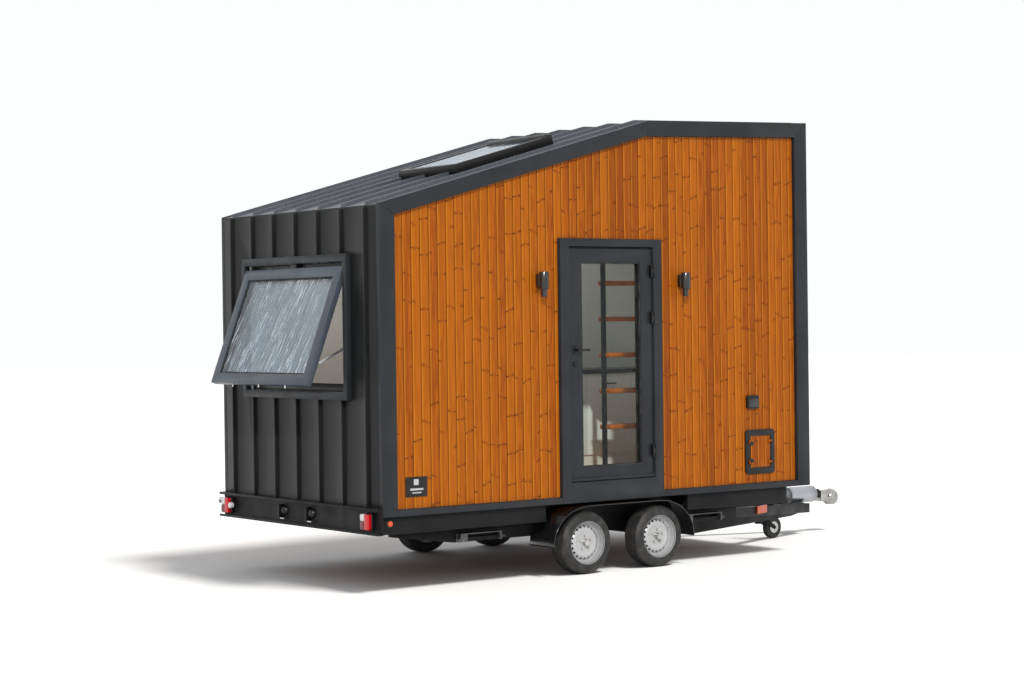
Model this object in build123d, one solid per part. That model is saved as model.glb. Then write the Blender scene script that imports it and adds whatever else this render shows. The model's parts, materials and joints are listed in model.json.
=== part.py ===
from build123d import *

import math
import os

os.makedirs("parts", exist_ok=True)

# A tiny house on a twin-axle trailer. Millimetres. While the pieces are made, x = 0 is the outer
# face of the rear wall and +x runs to the tow coupling, the door side faces -y, z = 0 is the ground.

# House envelope, over the end fascias
house_length = 4640
house_width = 2500
skirt_height = 600
eave_height = 3056
knee_x = 2765
knee_height = 3823
front_height = 3886

# Wall, roof and floor build-up
core_thickness = 120
board_thickness = 22
fascia_proud = 32
skin_thickness = 3
roof_thickness = 150
skin_below_fascia = 8
floor_thickness = 160
joint_gap = 1
shadow_gap = 4

# Fascia widths
rear_post = 140
slope_member = 122
top_member = 132
front_post = 148
bottom_rail = 52

# Standing seams
seam_height = 28
seam_width = 20
seam_pitch = 350
seam_count = 7

# Door
door_centre = 2336
door_casing_width = 1104
door_casing_top = 2804
casing_face = 92
casing_stop = 24
leaf_bottom = 775
leaf_top = 2722
leaf_width = 910
leaf_thickness = 68
leaf_recess = 15
stile = 130
top_stile = 114
bottom_stile = 115
glass_thickness = 24
hinge_heights = (997, 2137, 2537)
hinge_radius = 9
hinge_length = 100
hinge_axis_proud = 12
lever_height = 1874
lever_length = 118
lock_height = 1757
handle_backset = 46
spindle_radius = 4
turning_gap = 1

# Rear window and its propped sash
window_width = 1640
window_bottom = 1507
window_top = 2677
window_side_face = 50
window_sill_face = 60
window_head_face = 60
window_proud = 50
sash_width = 1530
sash_length = 1005
sash_angle = 20.6
sash_bar = 88
sash_thickness = 55
sash_hinge_in = 11
sash_head_gap = 56
stay_width = 22
stay_rest_gap = 0.3

# Skylight, along the slope
skylight_low = 1090
skylight_length = 1060
skylight_width = 840
skylight_centre = -396
skylight_bar = 60
skylight_height = 80
skylight_glass = 24

# Wall fittings
lamp_radius = 41
lamp_height = 145
lamp_bottom = 2380
lamp_middle = 2358
lamp_from_middle = 774
lamp_standoff = 26
lamp_plate = (80, 110)
nub_radius = 24
nub_height = 62
inlet_x = 3953
inlet_z = 1377
inlet_width = 140
inlet_height = 118
inlet_proud = 30
hatch_x = 4043
hatch_z = 932
hatch_width = 352
hatch_height = 395
hatch_bar = 54
hatch_proud = 14
hatch_door_thickness = 34
hatch_gap = 5
hatch_corner = 34

# Inside
ladder_x = 3015
ladder_width = 400
ladder_y = -300
ladder_bar = 36
tread_first = 1182
tread_pitch = 323
tread_count = 5
tread_depth = 170
tread_thickness = 30
kitchen_start = 2300
kitchen_depth = 620
kitchen_height = 860
worktop_thickness = 40
tap_x = 2960
tap_height = 300
tap_radius = 12

# Trailer chassis
rail_depth = 140
rail_width = 60
rail_outer = 1200
rear_rail_end = 1640
front_rail_start = 3200
front_rail_end = 4380
upper_beam_width = 57
beam_outer = 950
beam_width = 60
beam_top = 418
beam_depth = 95
beam_start = 280
beam_end = 4000
beam_taper = 600
cross_places = (30, 840, 1540, 3230, 3900, 4580)
cross_width = 60
cross_depth = 100
channel_bottom = 461
channel_top = 671
channel_out = 57
channel_wall = 6
channel_lip = 20

# Drawbar and hitch
drawbar_start = 3440
drawbar_end = 5757
drawbar_start_y = 872
drawbar_end_y = 75
drawbar_width = 60
drawbar_nose_top = 297
drawbar_nose_depth = 89
gusset_bottom = 200
gusset_thickness = 12
hitch_start = 5559
hitch_end = 5900
hitch_height = 378
hitch_radius = 80
gaiter_radius = 58
gaiter_length = 84
coupling_length = 250
coupling_height = 345
head_radius = 84
head_height = 332
head_foot = 262
neck_half = 45
neck_heights = (300, 405)
ball_radius = 25
ball_clearance = 0.5

# Running gear
first_axle = 2030
axle_spacing = 793
tyre_diameter = 525
tyre_width = 195
tyre_outer_y = 1270
rim_diameter = 340
flange_diameter = 366
rim_wall = 8
rim_disc = 12
rim_disc_inset = 62
bead_gap = 0.5
hub_radius = 30
hub_gap = 0.05
drum_radius = 120
drum_width = 60
axle_tube = 76
arm_length = 150
arm_width = 45
mudguard_reach = 370
mudguard_rise = 306
mudguard_foot = 245
mudguard_skin = 6
mudguard_outer = 1286

# Jockey wheel
jockey_x = 5003
jockey_y = -180
jockey_post_radius = 24
jockey_post_top = 620
jockey_sleeve_wall = 6
jockey_sleeve = (390, 550)
jockey_clamp_width = 60
jockey_bracket_drop = 20
jockey_base = (152, 190)
jockey_base_radius = 36
jockey_diameter = 215
jockey_width = 56
jockey_trail = 187
jockey_swivel = 3
jockey_lift = 150
jockey_fork_gap = 6
jockey_axle_radius = 10
fork_plate = 8
slide_gap = 0.3

# Corner steadies
steady_places = (900, 3350)
steady_length = 420
steady_width = 50
steady_leg_depth = 26
steady_plate = 8
steady_pivot_z = 352
steady_pin_radius = 6
spindle_nut = 12

# Lamps on the trailer
tail_lamp_places = (-1078, 1138)
tail_lamp_z = 561
tail_lamp_size = (70, 118, 131)
plate_lamp_y = 215
marker_x = 87
marker_z = 546
marker_radius = 21
marker_proud = 18
reflector_along = 1424
reflector_foot = 282
reflector_size = (190, 14, 72)

# Worked-out places
side = house_width / 2
timber_face = side - fascia_proud
core_face = timber_face - board_thickness
core_inner = core_face - core_thickness
floor_top = skirt_height + floor_thickness
rear_inner = skin_thickness + core_thickness
front_outer = house_length - skin_thickness
front_inner = front_outer - core_thickness
slope = math.atan2(knee_height - eave_height, knee_x)
flat_slope = math.atan2(front_height - knee_height, house_length - knee_x)
skin_top_drop = skin_below_fascia
core_top_drop = skin_below_fascia + skin_thickness
roof_under_drop = core_top_drop + roof_thickness
casing_left = door_centre - door_casing_width / 2
casing_right = door_centre + door_casing_width / 2
opening_left = casing_left + casing_face
opening_right = casing_right - casing_face
opening_top = door_casing_top - casing_face * 0.7
leaf_left = door_centre - leaf_width / 2
leaf_right = door_centre + leaf_width / 2
leaf_face = -side + leaf_recess
leaf_back = leaf_face + leaf_thickness
door_axis = (opening_right + turning_gap, -side - hinge_axis_proud)
wheel_radius = tyre_diameter / 2
axle_places = (first_axle, first_axle + axle_spacing)
upper_beam_outer = beam_outer - 3
hatch_axis = (hatch_x + hatch_width / 2 - hatch_bar + 8, -timber_face - hatch_proud - 8)
sash_swing = math.radians(sash_angle)
sash_hinge_z = window_top - window_head_face - sash_head_gap
sash_reach = sash_length * math.sin(sash_swing) + sash_thickness * math.cos(sash_swing)
rear_reach = sash_reach - sash_hinge_in
front_reach = hitch_end + gaiter_length + coupling_length
frame_x = (front_reach - rear_reach) / 2


def roof_line(x):
    """Height of the fascias' top edge at x."""
    if x <= knee_x:
        return eave_height + x * math.tan(slope)
    return knee_height + (x - knee_x) * math.tan(flat_slope)


def block(x, y, z):
    """Box between pairs of limits along x, y and z."""
    size = (x[1] - x[0], y[1] - y[0], z[1] - z[0])
    centre = ((x[0] + x[1]) / 2, (y[0] + y[1]) / 2, (z[0] + z[1]) / 2)
    return Pos(*centre) * Box(*size)


def side_slab(points, y0, y1):
    """Solid of an outline in the x-z plane, from y0 to y1."""
    face = make_face(Polyline(*[(x, z) for x, z in points], close=True))
    placed = Plane(origin=(0, y0, 0), x_dir=(1, 0, 0), z_dir=(0, -1, 0)) * face
    return extrude(placed, amount=y1 - y0, dir=(0, 1, 0))


def rod(centre, radius, length, axis):
    """Cylinder about centre, along the x, y or z axis."""
    turn = {"x": Rot(0, 90, 0), "y": Rot(90, 0, 0), "z": Rot(0, 0, 0)}[axis]
    return Pos(*centre) * turn * Cylinder(radius, length)


def mirrored(shape):
    return mirror(shape, about=Plane.XZ)


def save(name, *shapes):
    """Write one sub-part, moved so that the frame's origin is under the middle of the whole."""
    solids = [solid for shape in shapes for solid in shape.solids()]
    moved = [Pos(-frame_x, 0, 0) * solid for solid in solids]
    export_step(moved[0] if len(moved) == 1 else Compound(moved), f"parts/{name}.step")


def under_roof(x0, x1, drop0, drop1=None):
    """Outline between x0 and x1: its top follows the roof at drop0, its foot is at drop1 or z given."""
    xs = [x0] + ([knee_x] if x0 < knee_x < x1 else []) + [x1]
    top = [(x, roof_line(x) - drop0) for x in xs]
    foot = [(x, roof_line(x) - drop1) for x in reversed(xs)]
    return top + foot


def wall_outline(x0, x1, z0, drop):
    xs = [x0] + ([knee_x] if x0 < knee_x < x1 else []) + [x1]
    return [(x0, z0), (x1, z0)] + [(x, roof_line(x) - drop) for x in reversed(xs)]


def shell():
    """Structural walls, roof and floor, lined inside."""
    save("door_wall_rear", side_slab(
        wall_outline(skin_thickness, casing_left, skirt_height, roof_under_drop), -core_face, -core_inner))
    hatch_hole = block((hatch_x - hatch_width / 2 + hatch_bar, hatch_x + hatch_width / 2 - hatch_bar),
                       (-side, -core_inner + 1),
                       (hatch_z - hatch_height / 2 + hatch_bar, hatch_z + hatch_height / 2 - hatch_bar))
    save("door_wall_front", side_slab(
        wall_outline(casing_right, front_outer, skirt_height, roof_under_drop), -core_face, -core_inner)
        - hatch_hole)
    save("door_wall_over", side_slab(
        wall_outline(casing_left, casing_right, door_casing_top, roof_under_drop), -core_face, -core_inner))
    save("far_wall", side_slab(
        wall_outline(skin_thickness, front_outer, skirt_height, roof_under_drop), core_inner, core_face))
    rear = side_slab(wall_outline(skin_thickness, rear_inner, skirt_height, roof_under_drop),
                     -core_inner, core_inner)
    save("rear_wall", rear - window_hole())
    save("front_wall", side_slab(wall_outline(front_inner, front_outer, skirt_height, roof_under_drop),
                                 -core_inner, core_inner))
    roof = side_slab(under_roof(skin_thickness, front_outer, core_top_drop, roof_under_drop),
                     -core_face, core_face)
    save("roof", roof - skylight_hole())
    deck = block((rear_inner, front_inner), (-core_inner, core_inner), (skirt_height, floor_top))
    threshold = block((casing_left, casing_right), (-core_face, -core_inner), (skirt_height, floor_top))
    save("floor", deck + threshold)


def window_hole():
    half = window_width / 2 - window_side_face
    return block((-seam_height - 1, rear_inner + 1), (-half, half),
                 (window_bottom + window_sill_face, window_top - window_head_face))


def on_slope(along, across, up):
    """Place on the sloping roof skin: along it from the eave, across, and up off it."""
    x = along * math.cos(slope) - up * math.sin(slope)
    z = eave_height - skin_top_drop / math.cos(slope) + along * math.sin(slope) + up * math.cos(slope)
    return Pos(x, across, z) * Rot(0, -math.degrees(slope), 0)


def slope_block(along, across, up):
    """Box on the sloping roof, between limits along, across and up."""
    place = on_slope(sum(along) / 2, sum(across) / 2, sum(up) / 2)
    return place * Box(along[1] - along[0], across[1] - across[0], up[1] - up[0])


def skylight_limits(inset):
    along = (skylight_low + inset, skylight_low + skylight_length - inset)
    across = (skylight_centre - skylight_width / 2 + inset, skylight_centre + skylight_width / 2 - inset)
    return along, across


def skylight_hole():
    along, across = skylight_limits(skylight_bar)
    return slope_block(along, across, (-roof_thickness * 1.3, seam_height * 2))


def skylight():
    """Raised frame on the slope with its pane near the top."""
    outer_along, outer_across = skylight_limits(0)
    inner_along, inner_across = skylight_limits(skylight_bar)
    frame = slope_block(outer_along, outer_across, (0, skylight_height))
    frame -= slope_block(inner_along, inner_across, (-1, skylight_height + 1))
    hood = slope_block((outer_along[1] - skylight_bar, outer_along[1]), outer_across,
                       (skylight_height, skylight_height + 14))
    save("skylight_frame", frame + hood)
    top = skylight_height - 6
    save("skylight_glass", slope_block(inner_along, inner_across, (top - skylight_glass, top)))


def seams_across(width):
    return [(index - (seam_count - 1) / 2) * seam_pitch * width / house_width for index in range(seam_count)]


def metal_cladding():
    """Standing-seam skins of the rear wall, the roof and the front wall."""
    half = core_face - joint_gap
    rear = block((0, skin_thickness), (-half, half), (channel_top, eave_height - skin_below_fascia - 12))
    front = block((front_outer, house_length), (-half, half), (skirt_height, front_height - skin_below_fascia - 12))
    cover = side_slab(under_roof(0, house_length, skin_top_drop, core_top_drop), -half, half)
    for y in seams_across(house_width):
        strip = (y - seam_width / 2, y + seam_width / 2)
        rear += block((-seam_height, 0), strip, (channel_top, eave_height - skin_below_fascia - 12))
        front += block((house_length, house_length + seam_height), strip,
                       (skirt_height, front_height - skin_below_fascia - 12))
        rib = side_slab(under_roof(0, house_length, skin_top_drop - seam_height, skin_top_drop), *strip)
        cover += rib
    half_window = window_width / 2
    cut = block((-seam_height - 1, rear_inner), (-half_window, half_window), (window_bottom, window_top))
    along, across = skylight_limits(0)
    cover -= slope_block(along, across, (-skin_thickness * 2, seam_height * 2))
    save("wall_metal_cladding", rear - cut, front)
    save("roof_metal_cladding", cover)


def fascia_corners():
    """Outer and inner corner points of a side fascia, from the rear foot round to the front foot."""
    outer = [(0, skirt_height), (0, eave_height), (knee_x, knee_height),
             (house_length, front_height), (house_length, skirt_height)]
    slope_drop = slope_member / math.cos(slope)
    top_drop = top_member / math.cos(flat_slope)
    knee_in = (slope_drop - top_drop) / (math.tan(slope) - math.tan(flat_slope))
    x0, x1 = rear_post, house_length - front_post
    inner = [(x0, skirt_height), (x0, roof_line(x0) - slope_drop),
             (knee_x + knee_in, knee_height + knee_in * math.tan(slope) - slope_drop),
             (x1, roof_line(x1) - top_drop), (x1, skirt_height)]
    return outer, inner


def fascia_members():
    """Mitred members of one side frame, each ending half a joint short of the mitre."""
    outer, inner = fascia_corners()
    members = []
    for index in range(4):
        ends = (outer[index], outer[index + 1], inner[index + 1], inner[index])
        run = Vector(ends[1][0] - ends[0][0], ends[1][1] - ends[0][1]).normalized() * (joint_gap / 2)
        shifts = (run, run * -1, run * -1, run)
        points = [(p[0] + s.X, p[1] + s.Y) for p, s in zip(ends, shifts)]
        members.append(side_slab(points, -side, -core_face))
    return members


def bottom_rails(x_limits):
    z = (skirt_height, skirt_height + bottom_rail)
    return [block(x, (-side, -core_face), z) for x in x_limits]


def fascias():
    inside = (rear_post + joint_gap, house_length - front_post - joint_gap)
    near_rails = bottom_rails([(inside[0], casing_left - joint_gap), (casing_right + joint_gap, inside[1])])
    save("near_fascia", *fascia_members(), *near_rails)
    far = [mirrored(piece) for piece in fascia_members() + bottom_rails([inside])]
    save("far_fascia", *far)


def board_field(x0, x1, z0):
    """Boarded area between x0 and x1, from z0 up to the fascia's inner edge."""
    outer, inner = fascia_corners()
    slope_drop = slope_member / math.cos(slope) + shadow_gap
    top_drop = top_member / math.cos(flat_slope) + shadow_gap
    knee = inner[2][0]
    points = [(x0, z0), (x1, z0)]
    for x in [x1] + ([knee] if x0 < knee < x1 else []) + [x0]:
        points.append((x, roof_line(x) - (slope_drop if x <= knee else top_drop)))
    if x0 < knee < x1:
        points[3] = (knee, inner[2][1] - shadow_gap)
    return side_slab(points, -timber_face, -core_face)


def timber_cladding():
    left, right = rear_post + shadow_gap, house_length - front_post - shadow_gap
    foot = skirt_height + bottom_rail + shadow_gap
    rear_field = board_field(left, casing_left - shadow_gap, foot)
    over_field = board_field(casing_left - shadow_gap + joint_gap, casing_right + shadow_gap - joint_gap,
                             door_casing_top + shadow_gap)
    front_field = board_field(casing_right + shadow_gap, right, foot)
    frame_hole = block((hatch_x - hatch_width / 2 + hatch_bar, hatch_x + hatch_width / 2 - hatch_bar),
                       (-side, 0),
                       (hatch_z - hatch_height / 2 + hatch_bar, hatch_z + hatch_height / 2 - hatch_bar))
    far_field = mirrored(board_field(left, right, foot))
    save("timber_cladding", rear_field, over_field, front_field - frame_hole, far_field)


def hinge(axis, z, radius, length, leaf_edge, leaf_face, jamb_face):
    """Moving and fixed halves of a hinge, the fixed one with the pin."""
    share = length * 0.4
    flap_depth = radius / 3
    pin_radius = radius / 2
    flap_y = (axis[1] - flap_depth, axis[1] + flap_depth)
    reach = 3.4 * radius
    moving = rod((*axis, z), radius, share, "z")
    moving += block((leaf_edge - reach, axis[0]), flap_y, (z - share / 2, z + share / 2))
    moving += block((leaf_edge - reach, leaf_edge - reach / 2), (flap_y[0], leaf_face),
                    (z - length / 2, z + length / 2))
    moving -= rod((*axis, z), pin_radius + hub_gap, share + 2, "z")
    fixed = rod((*axis, z), pin_radius, length, "z")
    for end in (-1, 1):
        limits = sorted((z + end * length / 2, z + end * (share / 2 + slide_gap)))
        middle = sum(limits) / 2
        fixed += rod((*axis, middle), radius, limits[1] - limits[0], "z")
        fixed += block((axis[0], axis[0] + reach), (flap_y[0], jamb_face), limits)
    return moving, fixed


def door_hinges():
    return [hinge(door_axis, z, hinge_radius, hinge_length, leaf_right, leaf_face, -side) for z in hinge_heights]


def door():
    """Casing with its stop, glazed leaf, hinges and handle set."""
    jamb_y = (-side, -core_inner)
    casing = block((casing_left, casing_right), jamb_y, (skirt_height, door_casing_top))
    casing -= block((opening_left, opening_right), (-side - 1, 0), (leaf_bottom - 5, opening_top))
    casing -= block((casing_left - 1, casing_right + 1), (-core_face, 0), (skirt_height - 1, floor_top))
    stop_y = (leaf_back + 5, leaf_back + 5 + casing_stop)
    stop = block((opening_left, opening_right), stop_y, (leaf_bottom - 5, opening_top))
    stop -= block((opening_left + casing_stop, opening_right - casing_stop), (-side, 0),
                  (leaf_bottom - 6, opening_top - casing_stop))
    casing += stop
    for moving, fixed in door_hinges():
        casing += fixed
    save("door_casing", casing)

    x, z = (leaf_left, leaf_right), (leaf_bottom, leaf_top)
    glass_x = (leaf_left + stile, leaf_right - stile)
    glass_z = (leaf_bottom + bottom_stile, leaf_top - top_stile)
    middle = (leaf_face + leaf_back) / 2
    leaf = block(x, (leaf_face, leaf_back), z) - block(glass_x, (-side, 0), glass_z)
    spindle_x = leaf_left + handle_backset
    leaf -= rod((spindle_x + 16, middle, lever_height), spindle_radius + turning_gap, leaf_thickness + 2, "y")
    save("door_leaf", leaf)
    save("door_glass", block(glass_x, (middle - glass_thickness / 2, middle + glass_thickness / 2), glass_z))
    door_fittings(spindle_x + 16, middle)


def door_fittings(spindle_x, middle):
    knuckles = [moving for moving, fixed in door_hinges()]
    plate = 9
    roses = []
    for face, out in ((leaf_face, -1), (leaf_back, 1)):
        rose_y = sorted((face, face + out * plate))
        rose = block((spindle_x - 16, spindle_x + 16), rose_y, (lever_height - 32, lever_height + 32))
        rose -= rod((spindle_x, middle, lever_height), spindle_radius + turning_gap, 200, "y")
        lock = rod((spindle_x, face + out * plate / 2, lock_height), 24, plate, "y")
        barrel = rod((spindle_x, face + out * plate, lock_height), 9, plate, "y")
        roses += [rose, lock + barrel]
    save("door_hinges_and_roses", *knuckles, *roses)
    lever = rod((spindle_x, middle, lever_height), spindle_radius, leaf_thickness + 2 * 50, "y")
    for face, out in ((leaf_face, -1), (leaf_back, 1)):
        neck_y = face + out * (plate + 20)
        grip_y = face + out * (plate + 36)
        lever += rod((spindle_x, neck_y, lever_height), 10, 36, "y")
        lever += block((spindle_x - 10, spindle_x + lever_length), (grip_y - 8, grip_y + 8),
                       (lever_height - 10, lever_height + 10))
    save("door_lever", lever)


def rear_window():
    """Casing on the rear wall, top-hung sash propped open, its pane and its two stays."""
    half = window_width / 2
    z = (window_bottom, window_top)
    opening_z = (window_bottom + window_sill_face, window_top - window_head_face)
    inner = half - window_side_face
    casing = block((-window_proud, skin_thickness), (-half, half), z)
    casing -= block((-window_proud - 1, skin_thickness + 1), (-inner, inner), opening_z)
    save("window_casing", casing)
    hinge = Pos(sash_hinge_in, 0, sash_hinge_z) * Rot(0, sash_angle, 0)
    sash_half = sash_width / 2
    frame = hinge * block((-sash_thickness, 0), (-sash_half, sash_half), (-sash_length, 0))
    hole = hinge * block((-sash_thickness - 1, 1), (-sash_half + sash_bar, sash_half - sash_bar),
                         (-sash_length + sash_bar, -sash_bar))
    save("window_sash", frame - hole)
    pane_x = (-sash_thickness / 2 - glass_thickness / 2, -sash_thickness / 2 + glass_thickness / 2)
    save("window_glass", hinge * block(pane_x, (-sash_half + sash_bar, sash_half - sash_bar),
                                       (-sash_length + sash_bar, -sash_bar)))
    save("window_stays", *window_stays(inner, sash_half))


def window_stays(inner, sash_half):
    """A bar each side, from the casing's jamb to the sash's side."""
    reach = sash_length * 0.8
    sash_point = (sash_hinge_in - reach * math.sin(sash_swing), sash_hinge_z - reach * math.cos(sash_swing))
    jamb_point = (-window_proud / 2, window_bottom + window_sill_face + 360)
    run = Vector(sash_point[0] - jamb_point[0], sash_point[1] - jamb_point[1]).normalized()
    across = Vector(-run.Y, run.X) * (stay_width / 2)
    outline = []
    for point, sign in ((jamb_point, 1), (sash_point, 1), (sash_point, -1), (jamb_point, -1)):
        outline.append((point[0] + sign * across.X, point[1] + sign * across.Y))
    near = side_slab(outline, -inner + stay_rest_gap, -sash_half - stay_rest_gap)
    return near, mirrored(near)


def wall_fittings():
    wall = -timber_face
    lamps = []
    for x in (lamp_middle - lamp_from_middle, lamp_middle + lamp_from_middle):
        centre_y = wall - lamp_standoff - lamp_radius
        middle = lamp_bottom + lamp_height / 2
        body = rod((x, centre_y, middle), lamp_radius, lamp_height, "z")
        body += rod((x, centre_y, lamp_bottom - nub_height / 2 + joint_gap), nub_radius, nub_height, "z")
        wide, tall = lamp_plate
        body += block((x - wide / 2, x + wide / 2), (centre_y, wall), (middle - tall / 2, middle + tall / 2))
        lamps.append(body)
    save("wall_lamps", *lamps)
    inlet = block((inlet_x - inlet_width / 2, inlet_x + inlet_width / 2), (wall - inlet_proud, wall),
                  (inlet_z - inlet_height / 2, inlet_z + inlet_height / 2))
    save("inlet_cover", fillet(inlet.edges().filter_by(Axis.Y), 18))


def hatch():
    """Service hatch: fixed frame on the boards and a side-hung door in its opening."""
    x = (hatch_x - hatch_width / 2, hatch_x + hatch_width / 2)
    z = (hatch_z - hatch_height / 2, hatch_z + hatch_height / 2)
    face = -timber_face - hatch_proud
    frame = block(x, (face, -timber_face), z)
    frame = fillet(frame.edges().filter_by(Axis.Y), hatch_corner)
    hole_x = (x[0] + hatch_bar, x[1] - hatch_bar)
    hole_z = (z[0] + hatch_bar, z[1] - hatch_bar)
    frame -= block(hole_x, (face - 1, 0), hole_z)
    door_x = (hole_x[0] + hatch_gap, hole_x[1] - hatch_gap)
    door_z = (hole_z[0] + hatch_gap, hole_z[1] - hatch_gap)
    leaf = block(door_x, (face, face + hatch_door_thickness), door_z)
    for height in (door_z[0] + 45, door_z[1] - 45):
        moving, fixed = hinge(hatch_axis, height, 6, 50, door_x[1], face, face)
        leaf += moving
        frame += fixed
    save("hatch_frame", frame)
    for height in (door_z[0] + 50, door_z[1] - 50):
        latch = block((door_x[0] - 26, door_x[0] + 18), (face - 14, face - 1), (height - 18, height + 18))
        stem = block((door_x[0] + 2, door_x[0] + 18), (face - 2, face), (height - 18, height + 18))
        leaf += latch + stem
    save("hatch_door", leaf)


def interior():
    """Open ladder stair and the kitchen unit behind the glazed door."""
    uprights = []
    for x in (ladder_x, ladder_x + ladder_width):
        y = (ladder_y - ladder_bar / 2, ladder_y + ladder_bar / 2)
        top = roof_line(x) - roof_under_drop - 2
        uprights.append(block((x - ladder_bar / 2, x + ladder_bar / 2), y, (floor_top, top)))
    save("ladder_uprights", *uprights)
    treads = []
    inside = (ladder_x + ladder_bar / 2, ladder_x + ladder_width - ladder_bar / 2)
    for index in range(tread_count):
        height = tread_first + index * tread_pitch
        y = (ladder_y - tread_depth / 2, ladder_y + tread_depth / 2)
        treads.append(block(inside, y, (height - tread_thickness, height)))
    save("ladder_treads", *treads)
    front = core_inner - kitchen_depth
    top = floor_top + kitchen_height
    save("kitchen_unit", block((kitchen_start, front_inner), (front, core_inner), (floor_top, top)))
    worktop = block((kitchen_start, front_inner), (front - 15, core_inner), (top, top + worktop_thickness))
    tap_y = core_inner - kitchen_depth * 0.25
    base = top + worktop_thickness
    tap = rod((tap_x, tap_y, base + tap_height / 2), tap_radius, tap_height, "z")
    tap += block((tap_x - tap_radius, tap_x + tap_radius), (tap_y - 190, tap_y + tap_radius),
                 (base + tap_height - 20, base + tap_height))
    save("kitchen_worktop", worktop + tap)


def chassis():
    """Floor frame, lower beams with the inclined drawbar, and the rear channel."""
    rail_z = (skirt_height - rail_depth, skirt_height)
    beam_y = (-upper_beam_outer, -upper_beam_outer + upper_beam_width)
    frame = block((beam_start, house_length), beam_y, (beam_top, skirt_height))
    frame += block((0, beam_start), beam_y, rail_z)
    for x in ((0, rear_rail_end), (front_rail_start, front_rail_end)):
        frame += block(x, (-rail_outer, -rail_outer + rail_width), rail_z)
    frame += mirrored(frame)
    for x in cross_places:
        half = rail_outer - 1 if x < front_rail_end else upper_beam_outer - 1
        frame += block((x, x + cross_width), (-half, half), (skirt_height - cross_depth, skirt_height))
    save("floor_frame", frame)
    near = lower_beam() + drawbar_arm()
    nose = block((drawbar_end - 200, drawbar_end - 10), (-drawbar_end_y, drawbar_end_y),
                 (drawbar_nose_top - 70, drawbar_nose_top))
    save("drawbar", near + mirrored(near) + nose)
    half = side
    z = (channel_bottom, channel_top)
    channel = block((-channel_out, 0), (-half, half), z)
    channel -= block((-channel_out - 1, -channel_wall), (-half - 1, half + 1),
                     (z[0] + channel_wall, z[1] - channel_wall))
    for lip in ((z[0], z[0] + channel_lip), (z[1] - channel_lip, z[1])):
        channel += block((-channel_out, -channel_out + channel_wall), (-half, half), lip)
    save("rear_channel", channel)


def lower_beam():
    """Straight beam under the floor frame, tapered up at its rear end."""
    z0 = beam_top - beam_depth
    outline = [(beam_start, beam_top), (beam_start, beam_top - 12), (beam_start + beam_taper, z0),
               (beam_end, z0), (beam_end, beam_top)]
    return side_slab(outline, -beam_outer, -beam_outer + beam_width)


def on_arm(along=0):
    """Place on the near drawbar arm's centre line, its x axis along the arm."""
    turn = math.atan2(drawbar_start_y - drawbar_end_y, drawbar_end - drawbar_start)
    start = (drawbar_start + along * math.cos(turn), -drawbar_start_y + along * math.sin(turn), 0)
    return Pos(*start) * Rot(0, 0, math.degrees(turn))


def drawbar_arm():
    """Arm running inwards and down to the hitch, with its tapered gusset below."""
    length = math.hypot(drawbar_end - drawbar_start, drawbar_start_y - drawbar_end_y)
    z0 = beam_top - beam_depth
    nose_foot = drawbar_nose_top - drawbar_nose_depth
    arm = side_slab([(0, z0), (length, nose_foot), (length, drawbar_nose_top), (0, beam_top)],
                    -drawbar_width / 2, drawbar_width / 2)
    gusset = side_slab([(0, z0 + 20), (0, gusset_bottom + 20), (200, gusset_bottom), (length * 0.86, gusset_bottom),
                        (length * 0.96, nose_foot + 20)], -gusset_thickness / 2, gusset_thickness / 2)
    return on_arm() * (arm + gusset)


def hitch():
    """Overrun housing on the drawbar's nose, its gaiter and the coupling head."""
    housing = rod(((hitch_start + hitch_end) / 2, 0, hitch_height), hitch_radius, hitch_end - hitch_start, "x")
    between_arms = drawbar_end_y - drawbar_width / 2 - 2
    foot = block((hitch_start + 20, drawbar_end - 12), (-between_arms, between_arms),
                 (drawbar_nose_top, hitch_height))
    save("overrun_housing", housing + foot)
    gaiter_end = hitch_end + gaiter_length
    save("gaiter", rod(((hitch_end + gaiter_end) / 2, 0, hitch_height), gaiter_radius, gaiter_length, "x"))
    ball_x = gaiter_end + coupling_length - head_radius
    head = Pos(ball_x, 0, head_height) * Sphere(head_radius)
    head += block((gaiter_end, ball_x), (-neck_half, neck_half), neck_heights)
    head -= block((gaiter_end, front_reach), (-head_radius, head_radius), (0, head_foot))
    socket = Pos(ball_x, 0, coupling_height - 25) * Sphere(ball_radius + ball_clearance)
    throat = rod((ball_x, 0, coupling_height - 75), ball_radius + ball_clearance, 100, "z")
    save("coupling_head", head - socket - throat)


def ring(x, y0, y1, outer, inner):
    """Ring about the y axis through a wheel centre."""
    middle, width = (y0 + y1) / 2, abs(y1 - y0)
    centre = (x, middle, wheel_radius)
    return rod(centre, outer, width, "y") - rod(centre, inner, width + 2, "y")


def tyre(x, y_side):
    y0, y1 = y_side * tyre_outer_y, y_side * (tyre_outer_y - tyre_width)
    body = ring(x, y0, y1, wheel_radius, rim_diameter / 2 + bead_gap)
    return fillet(body.edges().filter_by(GeomType.CIRCLE).group_by(SortBy.RADIUS)[-1], 26)


def rim(x, y_side):
    """Barrel with a lip each side and a disc set in from the outer lip, bored for its hub."""
    outer, inner = tyre_outer_y - 8, tyre_outer_y - tyre_width + 8
    barrel = ring(x, y_side * outer, y_side * inner, rim_diameter / 2, rim_diameter / 2 - rim_wall)
    disc_y = outer - rim_disc_inset
    disc = ring(x, y_side * disc_y, y_side * (disc_y - rim_disc), rim_diameter / 2 - rim_wall + 1,
                hub_radius + hub_gap)
    return barrel + disc


def wheels():
    names = {(-1, 0): "near_rear", (-1, 1): "near_front", (1, 0): "far_rear", (1, 1): "far_front"}
    for (y_side, index), name in names.items():
        x = axle_places[index]
        save(f"{name}_tyre", tyre(x, y_side))
        save(f"{name}_rim", rim(x, y_side))


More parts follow.
